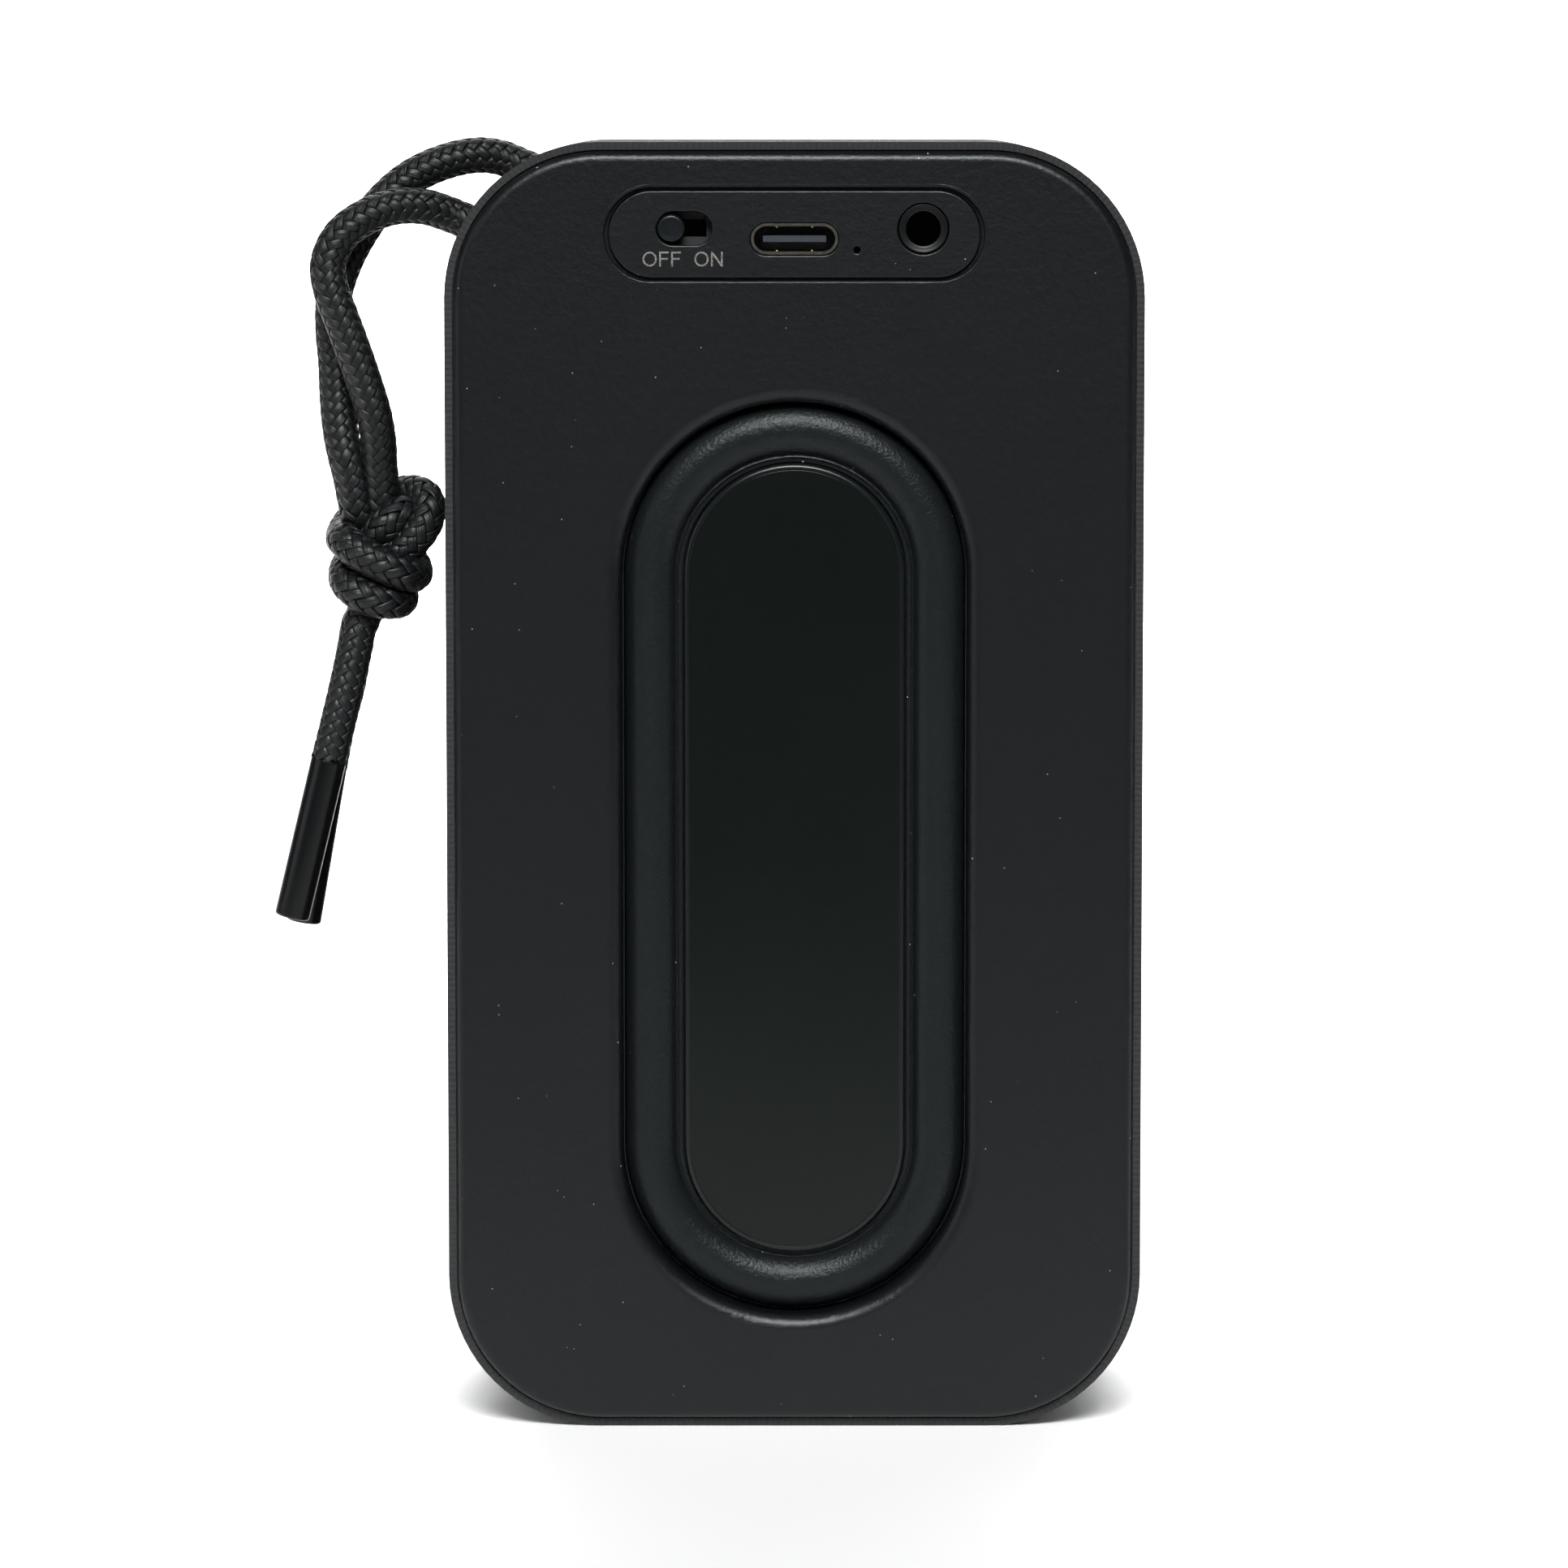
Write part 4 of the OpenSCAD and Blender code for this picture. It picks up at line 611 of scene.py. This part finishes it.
rows, columns = (add(tree, MATH, [place, CLOTH_PITCH], operation="DIVIDE")
    for place in (rows, columns))
diagonals = []
for slant in ("ADD", "SUBTRACT"):
    threads = add(tree, MATH, [rows, columns], operation=slant)
    threads = add(tree, MATH, [threads, math.pi], operation="MULTIPLY")
    diagonals.append(add(tree, MATH, [threads], operation="SINE"))
loops = add(tree, MATH, diagonals, operation="MULTIPLY")
loops = add(tree, MATH, [loops, 0.5, 0.5], operation="MULTIPLY_ADD")
# A fluff of loose fibres about 0.1 mm apart
fluff = add(tree, "ShaderNodeTexNoise", {"Vector": where, "Scale": 9000, "Detail": 2})
fluff = add(tree, MATH, [fluff.outputs["Fac"], 0.5], operation="MULTIPLY")
weave = add(tree, MATH, [loops, fluff], operation="ADD")
bumps = add(tree, "ShaderNodeBump", {"Height": weave, "Strength": 0.8, "Distance": 0.12 * MM})
tree.links.new(bumps.outputs[0], shader.inputs["Normal"])
# The hollows between the loops are painted darker than the loops: painted shade. The loose fluff
# is painted a little paler, the fibres' own tone.
tint = add(tree, "ShaderNodeMix", {0: weave, 6: linear("#070808"), 7: linear("#1b1c1e")},
    data_type="RGBA")
tree.links.new(tint.outputs[2], shader.inputs["Base Color"])
dress(cloth, "fabric_wrap")

# ---- Keys ----
# Three silicone keys stand in a raised bar on the front, and click switches on the main board.
# Their signs are moulded a little proud of them.
SIGN_H, SIGN_SUNK = 0.18 * MM, 0.05 * MM  # how far a sign stands above its key and goes into it
# Moulded ABS bar: matt and dark, with a soft grain
dress(grained("key_bar_moulded_abs", "#18191b", 0.5, 0.25, 0.02), "control_panel")
# Silicone: matt and a little paler than the bar, and the signs are palest
dress(grained("key_silicone", "#2b2d30", 0.55, 0.25, 0.015), "key_minus", "key_play", "key_plus")
sign_rubber = grained("key_sign_silicone", "#4a4c50", 0.6, 0.25, 0.015)


def plates(name, outlines, depth_from, depth_to, material):
    """Closed plates of flat (x, z) outlines in mm, between two depths in metres."""
    shape = bmesh.new()
    for outline in outlines:
        layers = [[shape.verts.new((x * MM, y, z * MM)) for x, z in outline]
            for y in (depth_from, depth_to)]
        shape.faces.new(layers[0])
        shape.faces.new(layers[1])
        join_rings(shape, layers, smooth=False)
    bmesh.ops.recalc_face_normals(shape, faces=shape.faces)
    return from_shape(name, shape, material)


def bar(x, z, wide, high):
    """The outline of an upright rectangle about its middle."""
    return [(x + wide / 2 * right, z + high / 2 * up)
        for right, up in ((-1, -1), (1, -1), (1, 1), (-1, 1))]


def key_sign(key, outlines):
    """A sign of flat outlines in mm, about the middle of its key's face."""
    low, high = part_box(key)
    x, z = (low.x + high.x) / 2 / MM, (low.z + high.z) / 2 / MM
    placed = [[(x + a, z + b) for a, b in outline] for outline in outlines]
    sign = plates(key + "_sign", placed, high.y - SIGN_SUNK, high.y + SIGN_H, sign_rubber)
    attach(sign, {"key_minus": "minus_key", "key_play": "play_key", "key_plus": "plus_key"}[key])


key_sign("key_minus", [bar(0, 0, 2.6, 0.5)])
key_sign("key_plus", [[(-1.3, -0.25), (-0.25, -0.25), (-0.25, -1.3), (0.25, -1.3),
    (0.25, -0.25), (1.3, -0.25), (1.3, 0.25), (0.25, 0.25), (0.25, 1.3), (-0.25, 1.3),
    (-0.25, 0.25), (-1.3, 0.25)]])
key_sign("key_play", [[(0.8, 1.15), (0.8, -1.15), (-1.15, 0)]])

# ---- Rear cover and port panel ----
# An ABS cover in the seam of the cloth, moulded in a tool with a fine spark-eroded texture, which
# gives it a dull, even sheen. The port panel is let into it, and its edges are softly rounded.


def dusted(tree, shader, colour, darker, speck="#a4a6a4", amount=0.75):
    """Gives a moulded face its slight cloudiness and a few specks of lint."""
    where = add(tree, "ShaderNodeTexCoord").outputs["Object"]
    cloudy = add(tree, "ShaderNodeTexNoise", {"Vector": where, "Scale": 45, "Detail": 4})
    shade = add(tree, "ShaderNodeMix", {0: cloudy.outputs["Fac"], 6: linear(darker),
        7: linear(colour)}, data_type="RGBA")
    # A cell of 2 mm may hold one round speck, whose radius is up to a twentieth of the cell
    cells = add(tree, "ShaderNodeTexVoronoi", {"Vector": where, "Scale": 520})
    chosen = add(tree, "ShaderNodeSeparateColor", [cells.outputs["Color"]]).outputs
    wide = add(tree, MATH, [chosen[1], 0.05], operation="MULTIPLY")
    inside = add(tree, MATH, [cells.outputs["Distance"], wide], operation="LESS_THAN")
    picked = add(tree, MATH, [chosen[0], amount], operation="LESS_THAN")
    lint = add(tree, MATH, [inside, picked], operation="MULTIPLY")
    both = add(tree, "ShaderNodeMix", {0: lint, 6: shade.outputs[2], 7: linear(speck)},
        data_type="RGBA")
    tree.links.new(both.outputs[2], shader.inputs["Base Color"])
    return where


def sparked(name, colour, darker, roughness, grain, depth, **surface):
    """A moulded plastic whose tool was spark-eroded, with its grain and depth in mm."""
    made, tree, shader = new_material(name, colour, roughness, **surface)
    dusted(tree, shader, colour, darker)
    roughened(tree, shader, 1 / (grain * MM), depth, 0.8, Detail=3, Roughness=0.65)
    return made


def racetrack(x, z, wide, high, steps=20):
    """Points in mm round a shape with two half-round ends."""
    r = min(wide, high) / 2
    points = []
    for quarter, (right, up) in enumerate(((1, 1), (-1, 1), (-1, -1), (1, -1))):
        cx, cz = x + right * (wide / 2 - r), z + up * (high / 2 - r)
        for t in (quarter + np.arange(steps + 1) / steps) * math.pi / 2:
            point = (cx + r * math.cos(t), cz + r * math.sin(t))
            if not points or math.dist(point, points[-1]) > 1e-6:
                points.append(point)
    return points[:-1] if math.dist(points[0], points[-1]) < 1e-6 else points


def panel(name, outlines, front, back, rounding, material):
    """A flat panel of closed (x, z) outlines in mm, its rim first, with softly rounded edges."""
    data = bpy.data.curves.new(name, "CURVE")
    data.dimensions, data.fill_mode = "2D", "BOTH"
    for outline in outlines:
        spline = data.splines.new("POLY")
        spline.points.add(len(outline) - 1)
        spline.points.foreach_set("co", [c for x, z in outline for c in (x * MM, z * MM, 0, 1)])
        spline.use_cyclic_u = True
    data.extrude = (back - front) / 2 * MM - rounding * MM
    data.bevel_depth, data.bevel_resolution, data.offset = rounding * MM, 3, -rounding * MM
    flat = bpy.data.objects.new(name + "_flat", data)
    mesh = bpy.data.meshes.new_from_object(flat)
    upright = ((1, 0, 0, 0), (0, 0, -1, (front + back) / 2 * MM), (0, 1, 0, 0), (0, 0, 0, 1))
    mesh.transform(Matrix(upright))
    bpy.data.objects.remove(flat)
    shape = bmesh.new()
    shape.from_mesh(mesh)
    bmesh.ops.remove_doubles(shape, verts=shape.verts, dist=1e-7)
    bmesh.ops.recalc_face_normals(shape, faces=shape.faces)
    for face in shape.faces:
        face.smooth = True
    return eased(from_shape(name, shape, material))


def swept_ring(name, track, section, material):
    """Sweeps a closed (outward, depth) section in mm round a racetrack: x, z, width, height."""
    x, z, wide, high = track
    shape = bmesh.new()
    rings = [[shape.verts.new((px * MM, y * MM, pz * MM))
        for px, pz in racetrack(x, z, wide + 2 * out, high + 2 * out)] for out, y in section]
    join_rings(shape, [*rings, rings[0]])
    bmesh.ops.recalc_face_normals(shape, faces=shape.faces)
    return eased(from_shape(name, shape, material))


def box_mm(node):
    """A CAD node's low and high corners, and its middle's x and z, in mm."""
    low, high = (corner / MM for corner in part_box(node))
    return low, high, (low.x + high.x) / 2, (low.z + high.z) / 2


COOL = (0.93, 0.98, 1, 1)  # the faint blue-green cast of the black plastics and rubber
# Spark-textured ABS: black, with a fine sparkle that spreads the light into a dull sheen. The
# texture's 0.7 mm grain is a few times the real one, so that it shows.
cover_abs, panel_abs = (sparked(name, "#080a0c", "#050708", 0.37, 0.7, 0.07,
    Specular_IOR_Level=sheen, Specular_Tint=COOL) for name, sheen in (
    ("cover_spark_textured_abs", 0.3), ("panel_spark_textured_abs", 0.33)))
dress(cover_abs, "rear_cover")
cover_face, panel_back = (corner.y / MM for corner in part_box("port_panel"))
_, _, panel_x, panel_z = box_mm("port_panel")
usb_low, _, usb_x, usb_z = box_mm("usb_shell")
# The openings: the x and z of the middle, the width and the height, in mm
SWITCH_SLOT = (-11.3, 124.7, 5.7, 3.46)
USB_MOUTH = (usb_x, usb_z, 9.1, 3.36)
JACK_X, JACK_Z, JACK_HOLE = 13.2, 124.66, 5.24
MICROPHONE_HOLE = (6.4, 122.5, 0.67, 0.67)
openings = [racetrack(*SWITCH_SLOT), racetrack(*USB_MOUTH),
    racetrack(JACK_X, JACK_Z, JACK_HOLE, JACK_HOLE), racetrack(*MICROPHONE_HOLE, 8)]
ports = panel("port_panel_face", [racetrack(panel_x, panel_z, 38.1, 8.9, 32), *openings],
    cover_face, panel_back, 0.2, panel_abs)
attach(ports, "case")
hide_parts("port_panel")
pocket_rim = swept_ring("cover_pocket_rim", (panel_x, panel_z, 39, 9.55), [(-0.3, -19.2),
    (-0.3, -19.4), (0, -19.4), (0, -19.85), (0.05, -19.93), (0.14, -20), (0.3, -20.01),
    (0.34, -19.99), (0.34, -19.2)], cover_abs)
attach(pocket_rim, "case")

# ---- Switch lettering ----
# OFF and ON, pad-printed in grey ink under the switch. The ink lies unevenly on the texture.
LETTER_W = 0.175  # mm, the width of a printed stroke
LETTERS_LOW, LETTERS_HIGH = 120.8, 122.32  # the heights of their feet and tops
LETTER_WIDTHS = {"O": 1.45, "F": 0.98, "N": 1.2}
# Pad-printing ink: a flat, warm grey that is thin and patchy over the texture
ink, tree, shader = new_material("letter_pad_print", "#8c8a86", 0.6)
where = add(tree, "ShaderNodeTexCoord").outputs["Object"]
patches = add(tree, "ShaderNodeTexNoise", {"Vector": where, "Scale": 6000, "Detail": 2})
cover_up = add(tree, "ShaderNodeMapRange", {"Value": patches.outputs["Fac"], "From Min": 0.35,
    "From Max": 0.6})
inked = add(tree, "ShaderNodeMix", {0: cover_up, 6: linear("#3c3b39"), 7: linear("#787672")},
    data_type="RGBA")
tree.links.new(inked.outputs[2], shader.inputs["Base Color"])


def ring_outline(x, z, wide, high, steps=40):
    """The short four-sided pieces that make up an upright oval letter."""
    pieces = []
    for a in np.arange(steps) * math.tau / steps:
        b = a + math.tau / steps
        pieces.append([(x + (wide / 2 - inset) * math.cos(t),
            z + (high / 2 - inset) * math.sin(t))
            for inset, t in ((0, a), (0, b), (LETTER_W, b), (LETTER_W, a))])
    return pieces


def letters(word, left, right):
    """Outlines of the letters O, F and N between two ends."""
    low, high, w = LETTERS_LOW, LETTERS_HIGH, LETTER_W
    tall = high - low
    gap = (right - left - sum(LETTER_WIDTHS[c] for c in word)) / (len(word) - 1)
    outlines, x = [], left
    for c in word:
        wide = LETTER_WIDTHS[c]
        if c == "O":
            outlines += ring_outline(x + wide / 2, (low + high) / 2, wide, tall)
        elif c == "F":  # its middle arm is the shorter one, a little above the middle
            outlines += [bar(x + w / 2, (low + high) / 2, w, tall),
                bar(x + w + (wide - w) / 2, high - w / 2, wide - w, w),
                bar(x + w + (wide - w) * 0.43, low + tall * 0.52, (wide - w) * 0.86, w)]
        else:
            outlines += [bar(x + w / 2, (low + high) / 2, w, tall),
                bar(x + wide - w / 2, (low + high) / 2, w, tall),
                [(x + w, high), (x + w, high - 1.9 * w), (x + wide - w, low),
                    (x + wide - w, low + 1.9 * w)]]
        x += wide + gap
    return outlines


print_face = ((cover_face - 0.015) * MM, (cover_face + 0.01) * MM)
for word, left, right in (("OFF", -15.56, -11.65), ("ON", -10.25, -7.35)):
    printed = plates("letters_" + word.lower(), letters(word, left, right), *print_face, ink)
    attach(printed, "case")

# ---- Switch ----
# A slide switch on the port board, whose round acetal knob stands in the slot and is pushed
# right for on. The knob's edge is well rounded, so it catches the light on its upper left.
knob_low, knob_high, knob_x, knob_z = box_mm("switch_knob")
KNOB_R, KNOB_ROUND = 1.43, 0.34  # mm, the knob and the rounding of its edge
# Glass-filled nylon: matt and dark behind the slot
dress(grained("switch_glass_filled_nylon", "#0f1113", 0.6, 0.3, 0.02), "switch_body")
# Moulded acetal: a dense black with a slightly waxy highlight
knob_acetal = grained("knob_moulded_acetal", "#0b0f11", 0.33, 0.25, 0.008,
    Specular_IOR_Level=0.25)
rounded = [(KNOB_ROUND * (1 - math.sin(t)), KNOB_R - KNOB_ROUND * (1 - math.cos(t)))
    for t in np.linspace(math.pi / 2, 0, 9)]
knob = turned("switch_knob_cap", [(far * MM, wide * MM) for far, wide in
    [(0.04, 0), (0.04, 0.8), (0.02, 0.95), *rounded, (2.0, KNOB_R), (2.0, 0)]],
    (knob_x * MM, knob_low.y * MM, knob_z * MM), (knob_x * MM, knob_high.y * MM, knob_z * MM))
shape = bmesh.new()
shape.from_mesh(knob.data)
# Its stem, and the carriage that slides in the switch, with their depths in mm
for size, y in (((1.1, 1.2, 1.1), -17.5), ((1.8, 2.3, 2.0), -15.75)):
    place = Matrix.Translation(Vector((knob_x, y, knob_z)) * MM)
    stretch = Matrix.Diagonal(Vector((*size, 1 / MM)) * MM)
    bmesh.ops.create_cube(shape, size=1, matrix=place @ stretch)
shape.to_mesh(knob.data)
shape.free()
knob.data.materials.append(knob_acetal)
eased(knob, 40)
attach(knob, "switch_slider")
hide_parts("switch_knob")

# ---- USB and audio sockets ----
# A USB socket in a drawn steel shell, with four gilt spring dots that press on the plug, and an
# audio socket with a moulded collar. Both are soldered to the port board behind the panel.
DOT_R, DOT_X, DOT_IN, DOT_UP = 0.16, 1.8, 0.22, 1.25  # mm, the dots' size and where they lie
# Drawn steel: a warm grey metal, rubbed brighter in places
usb_steel, tree, shader = new_material("usb_shell_drawn_steel", "#8f8b80", 0.3, Metallic=1.0)
where = add(tree, "ShaderNodeTexCoord").outputs["Object"]
worn = add(tree, "ShaderNodeTexNoise", {"Vector": where, "Scale": 1800, "Detail": 3})
rub = add(tree, "ShaderNodeMix", {0: worn.outputs["Fac"], 6: linear("#48453f"),
    7: linear("#9c988d")}, data_type="RGBA")
tree.links.new(rub.outputs[2], shader.inputs["Base Color"])
dress(usb_steel, "usb_shell")
# Moulded liquid-crystal polymer: smooth and grey, it takes a soft light
dress(grained("usb_tongue_moulded_lcp", "#2f343b", 0.35, 0.3, 0.01), "usb_tongue")
# Gilt spring steel: a dull gold
gilt = grained("spring_gilt_steel", "#9c8552", 0.4, 0.1, 0.01, Metallic=1.0)
shape = bmesh.new()
for x in (-DOT_X, DOT_X):
    for up in (DOT_UP, -DOT_UP):
        place = Vector((usb_x + x, usb_low.y + DOT_IN, usb_z + up)) * MM
        bmesh.ops.create_icosphere(shape, subdivisions=3, radius=DOT_R * MM,
            matrix=Matrix.Translation(place))
for face in shape.faces:
    face.smooth = True
dots = from_shape("usb_spring_dots", shape, gilt)
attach(dots, "case")
# Moulded PBT: smooth black, duller on the collar
dress(grained("audio_socket_moulded_pbt", "#070808", 0.34, 0.3, 0.01,
    Specular_IOR_Level=0.25), "aux_jack")
jack_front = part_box("aux_jack")[0].y / MM
collar = swept_ring("aux_collar", (JACK_X, JACK_Z, 4.3, 4.3), [(-0.34, jack_front + 0.1),
    (-0.34, jack_front + 0.01), (-0.3, jack_front - 0.02), (-0.12, jack_front - 0.04),
    (0.16, jack_front - 0.1), (0.26, jack_front - 0.14), (0.33, jack_front - 0.12),
    (0.35, jack_front - 0.05), (0.35, jack_front + 0.1)], grained("audio_collar_moulded_pbt",
    "#07090a", 0.38, 0.2, 0.01, Specular_IOR_Level=0.22))
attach(collar, "case")

# ---- Radiator plate ----
# A plate of polished ABS with a steel weight behind it. Its face is a glossy film laid inside a
# bevelled rim, with a fine groove between the two.
RADIATOR_Z = 59.45  # mm, the middle of the plate and its surround
RUN = 29.6  # mm from there to the middles of their round ends
# Polished ABS: a deep black gloss, faintly smeared
plate_abs, tree, shader = new_material("plate_polished_abs", "#0a0c0c", 0.16,
    Specular_IOR_Level=0.19)
where = dusted(tree, shader, "#0d1211", "#0a0e0d", "#4a4c4c", 0.3)
swirl = add(tree, "ShaderNodeTexNoise", {"Vector": where, "Scale": 70, "Detail": 4})
gloss = add(tree, "ShaderNodeMapRange", {"Value": swirl.outputs["Fac"], "To Min": 0.12,
    "To Max": 0.22})
tree.links.new(gloss.outputs[0], shader.inputs["Roughness"])
# Moulded ABS on the rim: satin, so that its bevel shows as a soft, light line
rim_abs = grained("plate_rim_moulded_abs", "#0c0f10", 0.25, 0.2, 0.01, Specular_IOR_Level=0.3)
plate_low, plate_high, _, _ = box_mm("radiator_plate")
plate_face, plate_back = plate_low.y, plate_high.y
PLATE_HALF = 11.42  # mm, half the plate's width
# From the film's edge into the groove, over the rim and down its bevel: inset and depth
steps = [(0.74, plate_face), (0.7, plate_face + 0.02), (0.69, plate_face + 0.12),
    (0.6, plate_face + 0.12), (0.59, plate_face + 0.05), (0.55, plate_face + 0.02),
    (0.45, plate_face + 0.02), (0.2, plate_face + 0.14), (0.08, plate_face + 0.26),
    (0.02, plate_face + 0.42), (0, plate_face + 0.6), (0, plate_back)]
shape = bmesh.new()
rings = []
for inset, y in steps:
    half = PLATE_HALF - inset
    rings.append([shape.verts.new((x * MM, y * MM, z * MM))
        for x, z in racetrack(0, RADIATOR_Z, 2 * half, 2 * (half + RUN + 0.08), 32)])
shape.faces.new(rings[0])
shape.faces.new(rings[-1])
join_rings(shape, rings[:4])
for face in join_rings(shape, rings[3:]):
    face.material_index = 1
bmesh.ops.recalc_face_normals(shape, faces=shape.faces)
plate = from_shape("radiator_plate_dressed", shape, plate_abs, rim_abs)
eased(plate, 35)
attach(plate, "radiator")
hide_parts("radiator_plate")
# Moulded ABS behind the plate: matt and dark
dress(grained("frame_moulded_abs", "#1c1d1f", 0.55, 0.25, 0.02), "radiator_frame")

# ---- Radiator surround ----
# One moulded rubber roll, clamped under the cover all round and bonded to the plate. It rises
# steeply from its outer edge, rolls over, and meets the plate at a shallow slope with a thin rim.
# It is built in short lengths: one along each straight side and 36 round its ends.
ROLL_R = 17.6  # mm from the middle to the roll's outer edge
ROLL_W, ROLL_T = 5.98, 0.6  # its width and its wall
CREST, CREST_Y, SLOPE_R = -2.7, -19.1, 3.1  # where its crest is, and the round of its slope
# Moulded rubber: satin black with a fine skin, and more lint on it than on the plastics
roll_rubber, tree, shader = new_material("roll_moulded_rubber", "#080a0b", 0.34,
    Specular_IOR_Level=0.19, Specular_Tint=COOL)
dusted(tree, shader, "#131617", "#0f1213", "#a4a6a4", 0.8)
roughened(tree, shader, 2600, 0.1, 0.8, Detail=3, Roughness=0.6)

back = box_mm("radiator_surround")[1].y
flat = back - ROLL_T
steep = [(CREST * (1 - math.cos(t)), flat + (CREST_Y - flat) * math.sin(t))
    for t in np.linspace(0.04, math.pi / 2, 18)]
shallow = [(CREST - SLOPE_R * math.sin(t), CREST_Y + SLOPE_R * (1 - math.cos(t)))
    for t in np.linspace(0, math.radians(48), 16)[1:]]
under = [(CREST - (SLOPE_R - ROLL_T) * math.sin(t),
    CREST_Y + ROLL_T + (SLOPE_R - ROLL_T) * (1 - math.cos(t)))
    for t in np.linspace(math.radians(46), 0, 8)]
under += [(CREST + 2.1 * math.sin(t), back + (CREST_Y + ROLL_T - back) * math.cos(t))
    for t in np.linspace(0, math.pi / 2, 10)[1:]]
# Over the roll to the thin rim beside the plate, and back along the underside
section = [(0.05, flat), *steep, *shallow, (-5.28, -17.7), (-5.32, -17.72), (-5.4, -17.79),
    (-5.48, -17.81), (-5.56, -17.76), (-5.6, -17.6), (-ROLL_W, -17.55), (-ROLL_W, flat),
    (-ROLL_W - 1.5, flat), (-ROLL_W - 1.5, back), (-5.1, back), *under, (0.05, back)]


def edge_normals(points, smooth=32):
    """For each side of a closed (outward, depth) outline, its outward normals at both ends."""
    points = np.array(points)
    along = np.roll(points, -1, axis=0) - points
    along /= np.linalg.norm(along, axis=1)[:, None]
    (x, y), (next_x, next_y) = points.T, np.roll(points, -1, axis=0).T
    own = np.c_[along[:, 1], -along[:, 0]] * np.sign(np.sum(x * next_y - next_x * y))
    ends = []
    for k in range(len(points)):
        pair = []
        for other in (k - 1, (k + 1) % len(points)):
            soft = own[k] @ own[other] > math.cos(math.radians(smooth))
            mixed = own[k] + own[other] if soft else own[k]
            pair.append(mixed / np.linalg.norm(mixed))
        ends.append(pair)
    return ends


roll_normals = edge_normals(section)


def roll_piece(name, places, start, end):
    """Sweeps the roll's section through (x, z, outward direction) places, and closes both ends.
    Its normals are those of the whole roll, so the cuts between the lengths don't show."""
    shape = bmesh.new()
    rings = [[shape.verts.new(((x + out * nx) * MM, y * MM, (z + out * nz) * MM))
        for out, y in section] for x, z, nx, nz in places]
    count = len(section)
    join_rings(shape, rings)
    for ring in (rings[0], rings[-1]):
        shape.faces.new(ring)
    bmesh.ops.recalc_face_normals(shape, faces=shape.faces)
    piece = from_shape(name, shape, roll_rubber)
    normals = []
    for face in piece.data.polygons:
        spots = {v % count for v in face.vertices}
        for v in face.vertices:
            if len(spots) > 2:
                normals.append(face.normal)
                continue
            side = 0 if spots == {0, count - 1} else min(spots)
            side = count - 1 if spots == {0, count - 1} else side
            out, y = roll_normals[side][int(v % count != side)]
            _, _, nx, nz = places[v // count]
            normals.append((out * nx, y, out * nz))
    piece.data.normals_split_custom_set(normals)
    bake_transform(piece)
    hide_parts("radiator_surround")


for side, name in ((1, "radiator_roll_right"), (-1, "radiator_roll_left")):
    places = [(side * ROLL_R, RADIATOR_Z + z, side, 0) for z in np.linspace(-RUN, RUN, 24)]
    roll_piece(name, places, (side * ROLL_R, flat, RADIATOR_Z),
        (side * (ROLL_R - ROLL_W), flat, RADIATOR_Z))
WEDGES = 36  # the lengths round the roll's two round ends
WEDGE = math.tau / WEDGES
for k in range(WEDGES):
    a = k * WEDGE
    end_z = RADIATOR_Z + (RUN if k < WEDGES / 2 else -RUN)
    places = [(ROLL_R * math.cos(t), end_z + ROLL_R * math.sin(t), math.cos(t), math.sin(t))
        for t in np.linspace(a, a + WEDGE, 4)]
    middle = a + WEDGE / 2
    tips = [(r * math.cos(WEDGE / 2) * math.cos(middle), flat,
        end_z + r * math.cos(WEDGE / 2) * math.sin(middle)) for r in (ROLL_R, ROLL_R - ROLL_W)]
    roll_piece(f"radiator_roll_{k + 1:02d}", places, *tips)

# ---- Studio floor and light ----
# A pale floor that curves up behind, and soft lights, as for a catalogue.
floor_white = new_material("floor_paper", "#f4f4f4", 0.6)[0]  # paper: matt white
# Depth and height, in metres: flat, then round and up
profile = [(-4, 0), (-2, 0), (-0.6, 0)] + [(1.2 + 0.5 * math.sin(a), 0.5 - 0.5 * math.cos(a))
    for a in np.linspace(0, math.pi / 2, 12)] + [(1.7, 2.2)]
shape = bmesh.new()
rows = [[shape.verts.new((x, y, z)) for x in (-4, 4)] for y, z in profile]
for low, high in zip(rows, rows[1:]):
    shape.faces.new((low[0], low[1], high[1], high[0])).smooth = True
floor = from_shape("floor", shape, floor_white)


def softbox(name, place, aim, size, power, spread=180):
    """A rectangular light of a width, a height and a power, aimed at a point."""
    light = in_scene(name, bpy.data.lights.new(name, "AREA"))
    light.data.shape = "RECTANGLE"
    light.data.size, light.data.size_y = size
    light.data.energy = power
    light.data.spread = math.radians(spread)
    light.location = place
    light.rotation_euler = (Vector(aim) - Vector(place)).to_track_quat("-Z", "Y").to_euler()


softbox("light_front", (0, -0.66, 0.66), (0, 0, 0.07), (0.9, 0.4), 2.05, 40)
softbox("light_over", (0, 0.75, 0.8), (0, 0.75, 0), (1.6, 0.6), 14, 100)
softbox("light_back", (0, 0.9, 1.4), (0, 1.5, 0.5), (2.0, 0.6), 40, 110)
softbox("light_left", (-1.4, -0.6, 0.4), (0, 0, 0.07), (0.9, 1.0), 3.5)
softbox("light_right", (1.4, -0.4, 0.4), (0, 0, 0.07), (0.9, 1.0), 0.3)
world = bpy.data.worlds.new("studio")
scene.world = world
world.use_nodes = True
world.node_tree.nodes["Background"].inputs[0].default_value = (0.9, 0.95, 1, 1)
world.node_tree.nodes["Background"].inputs[1].default_value = 0.05
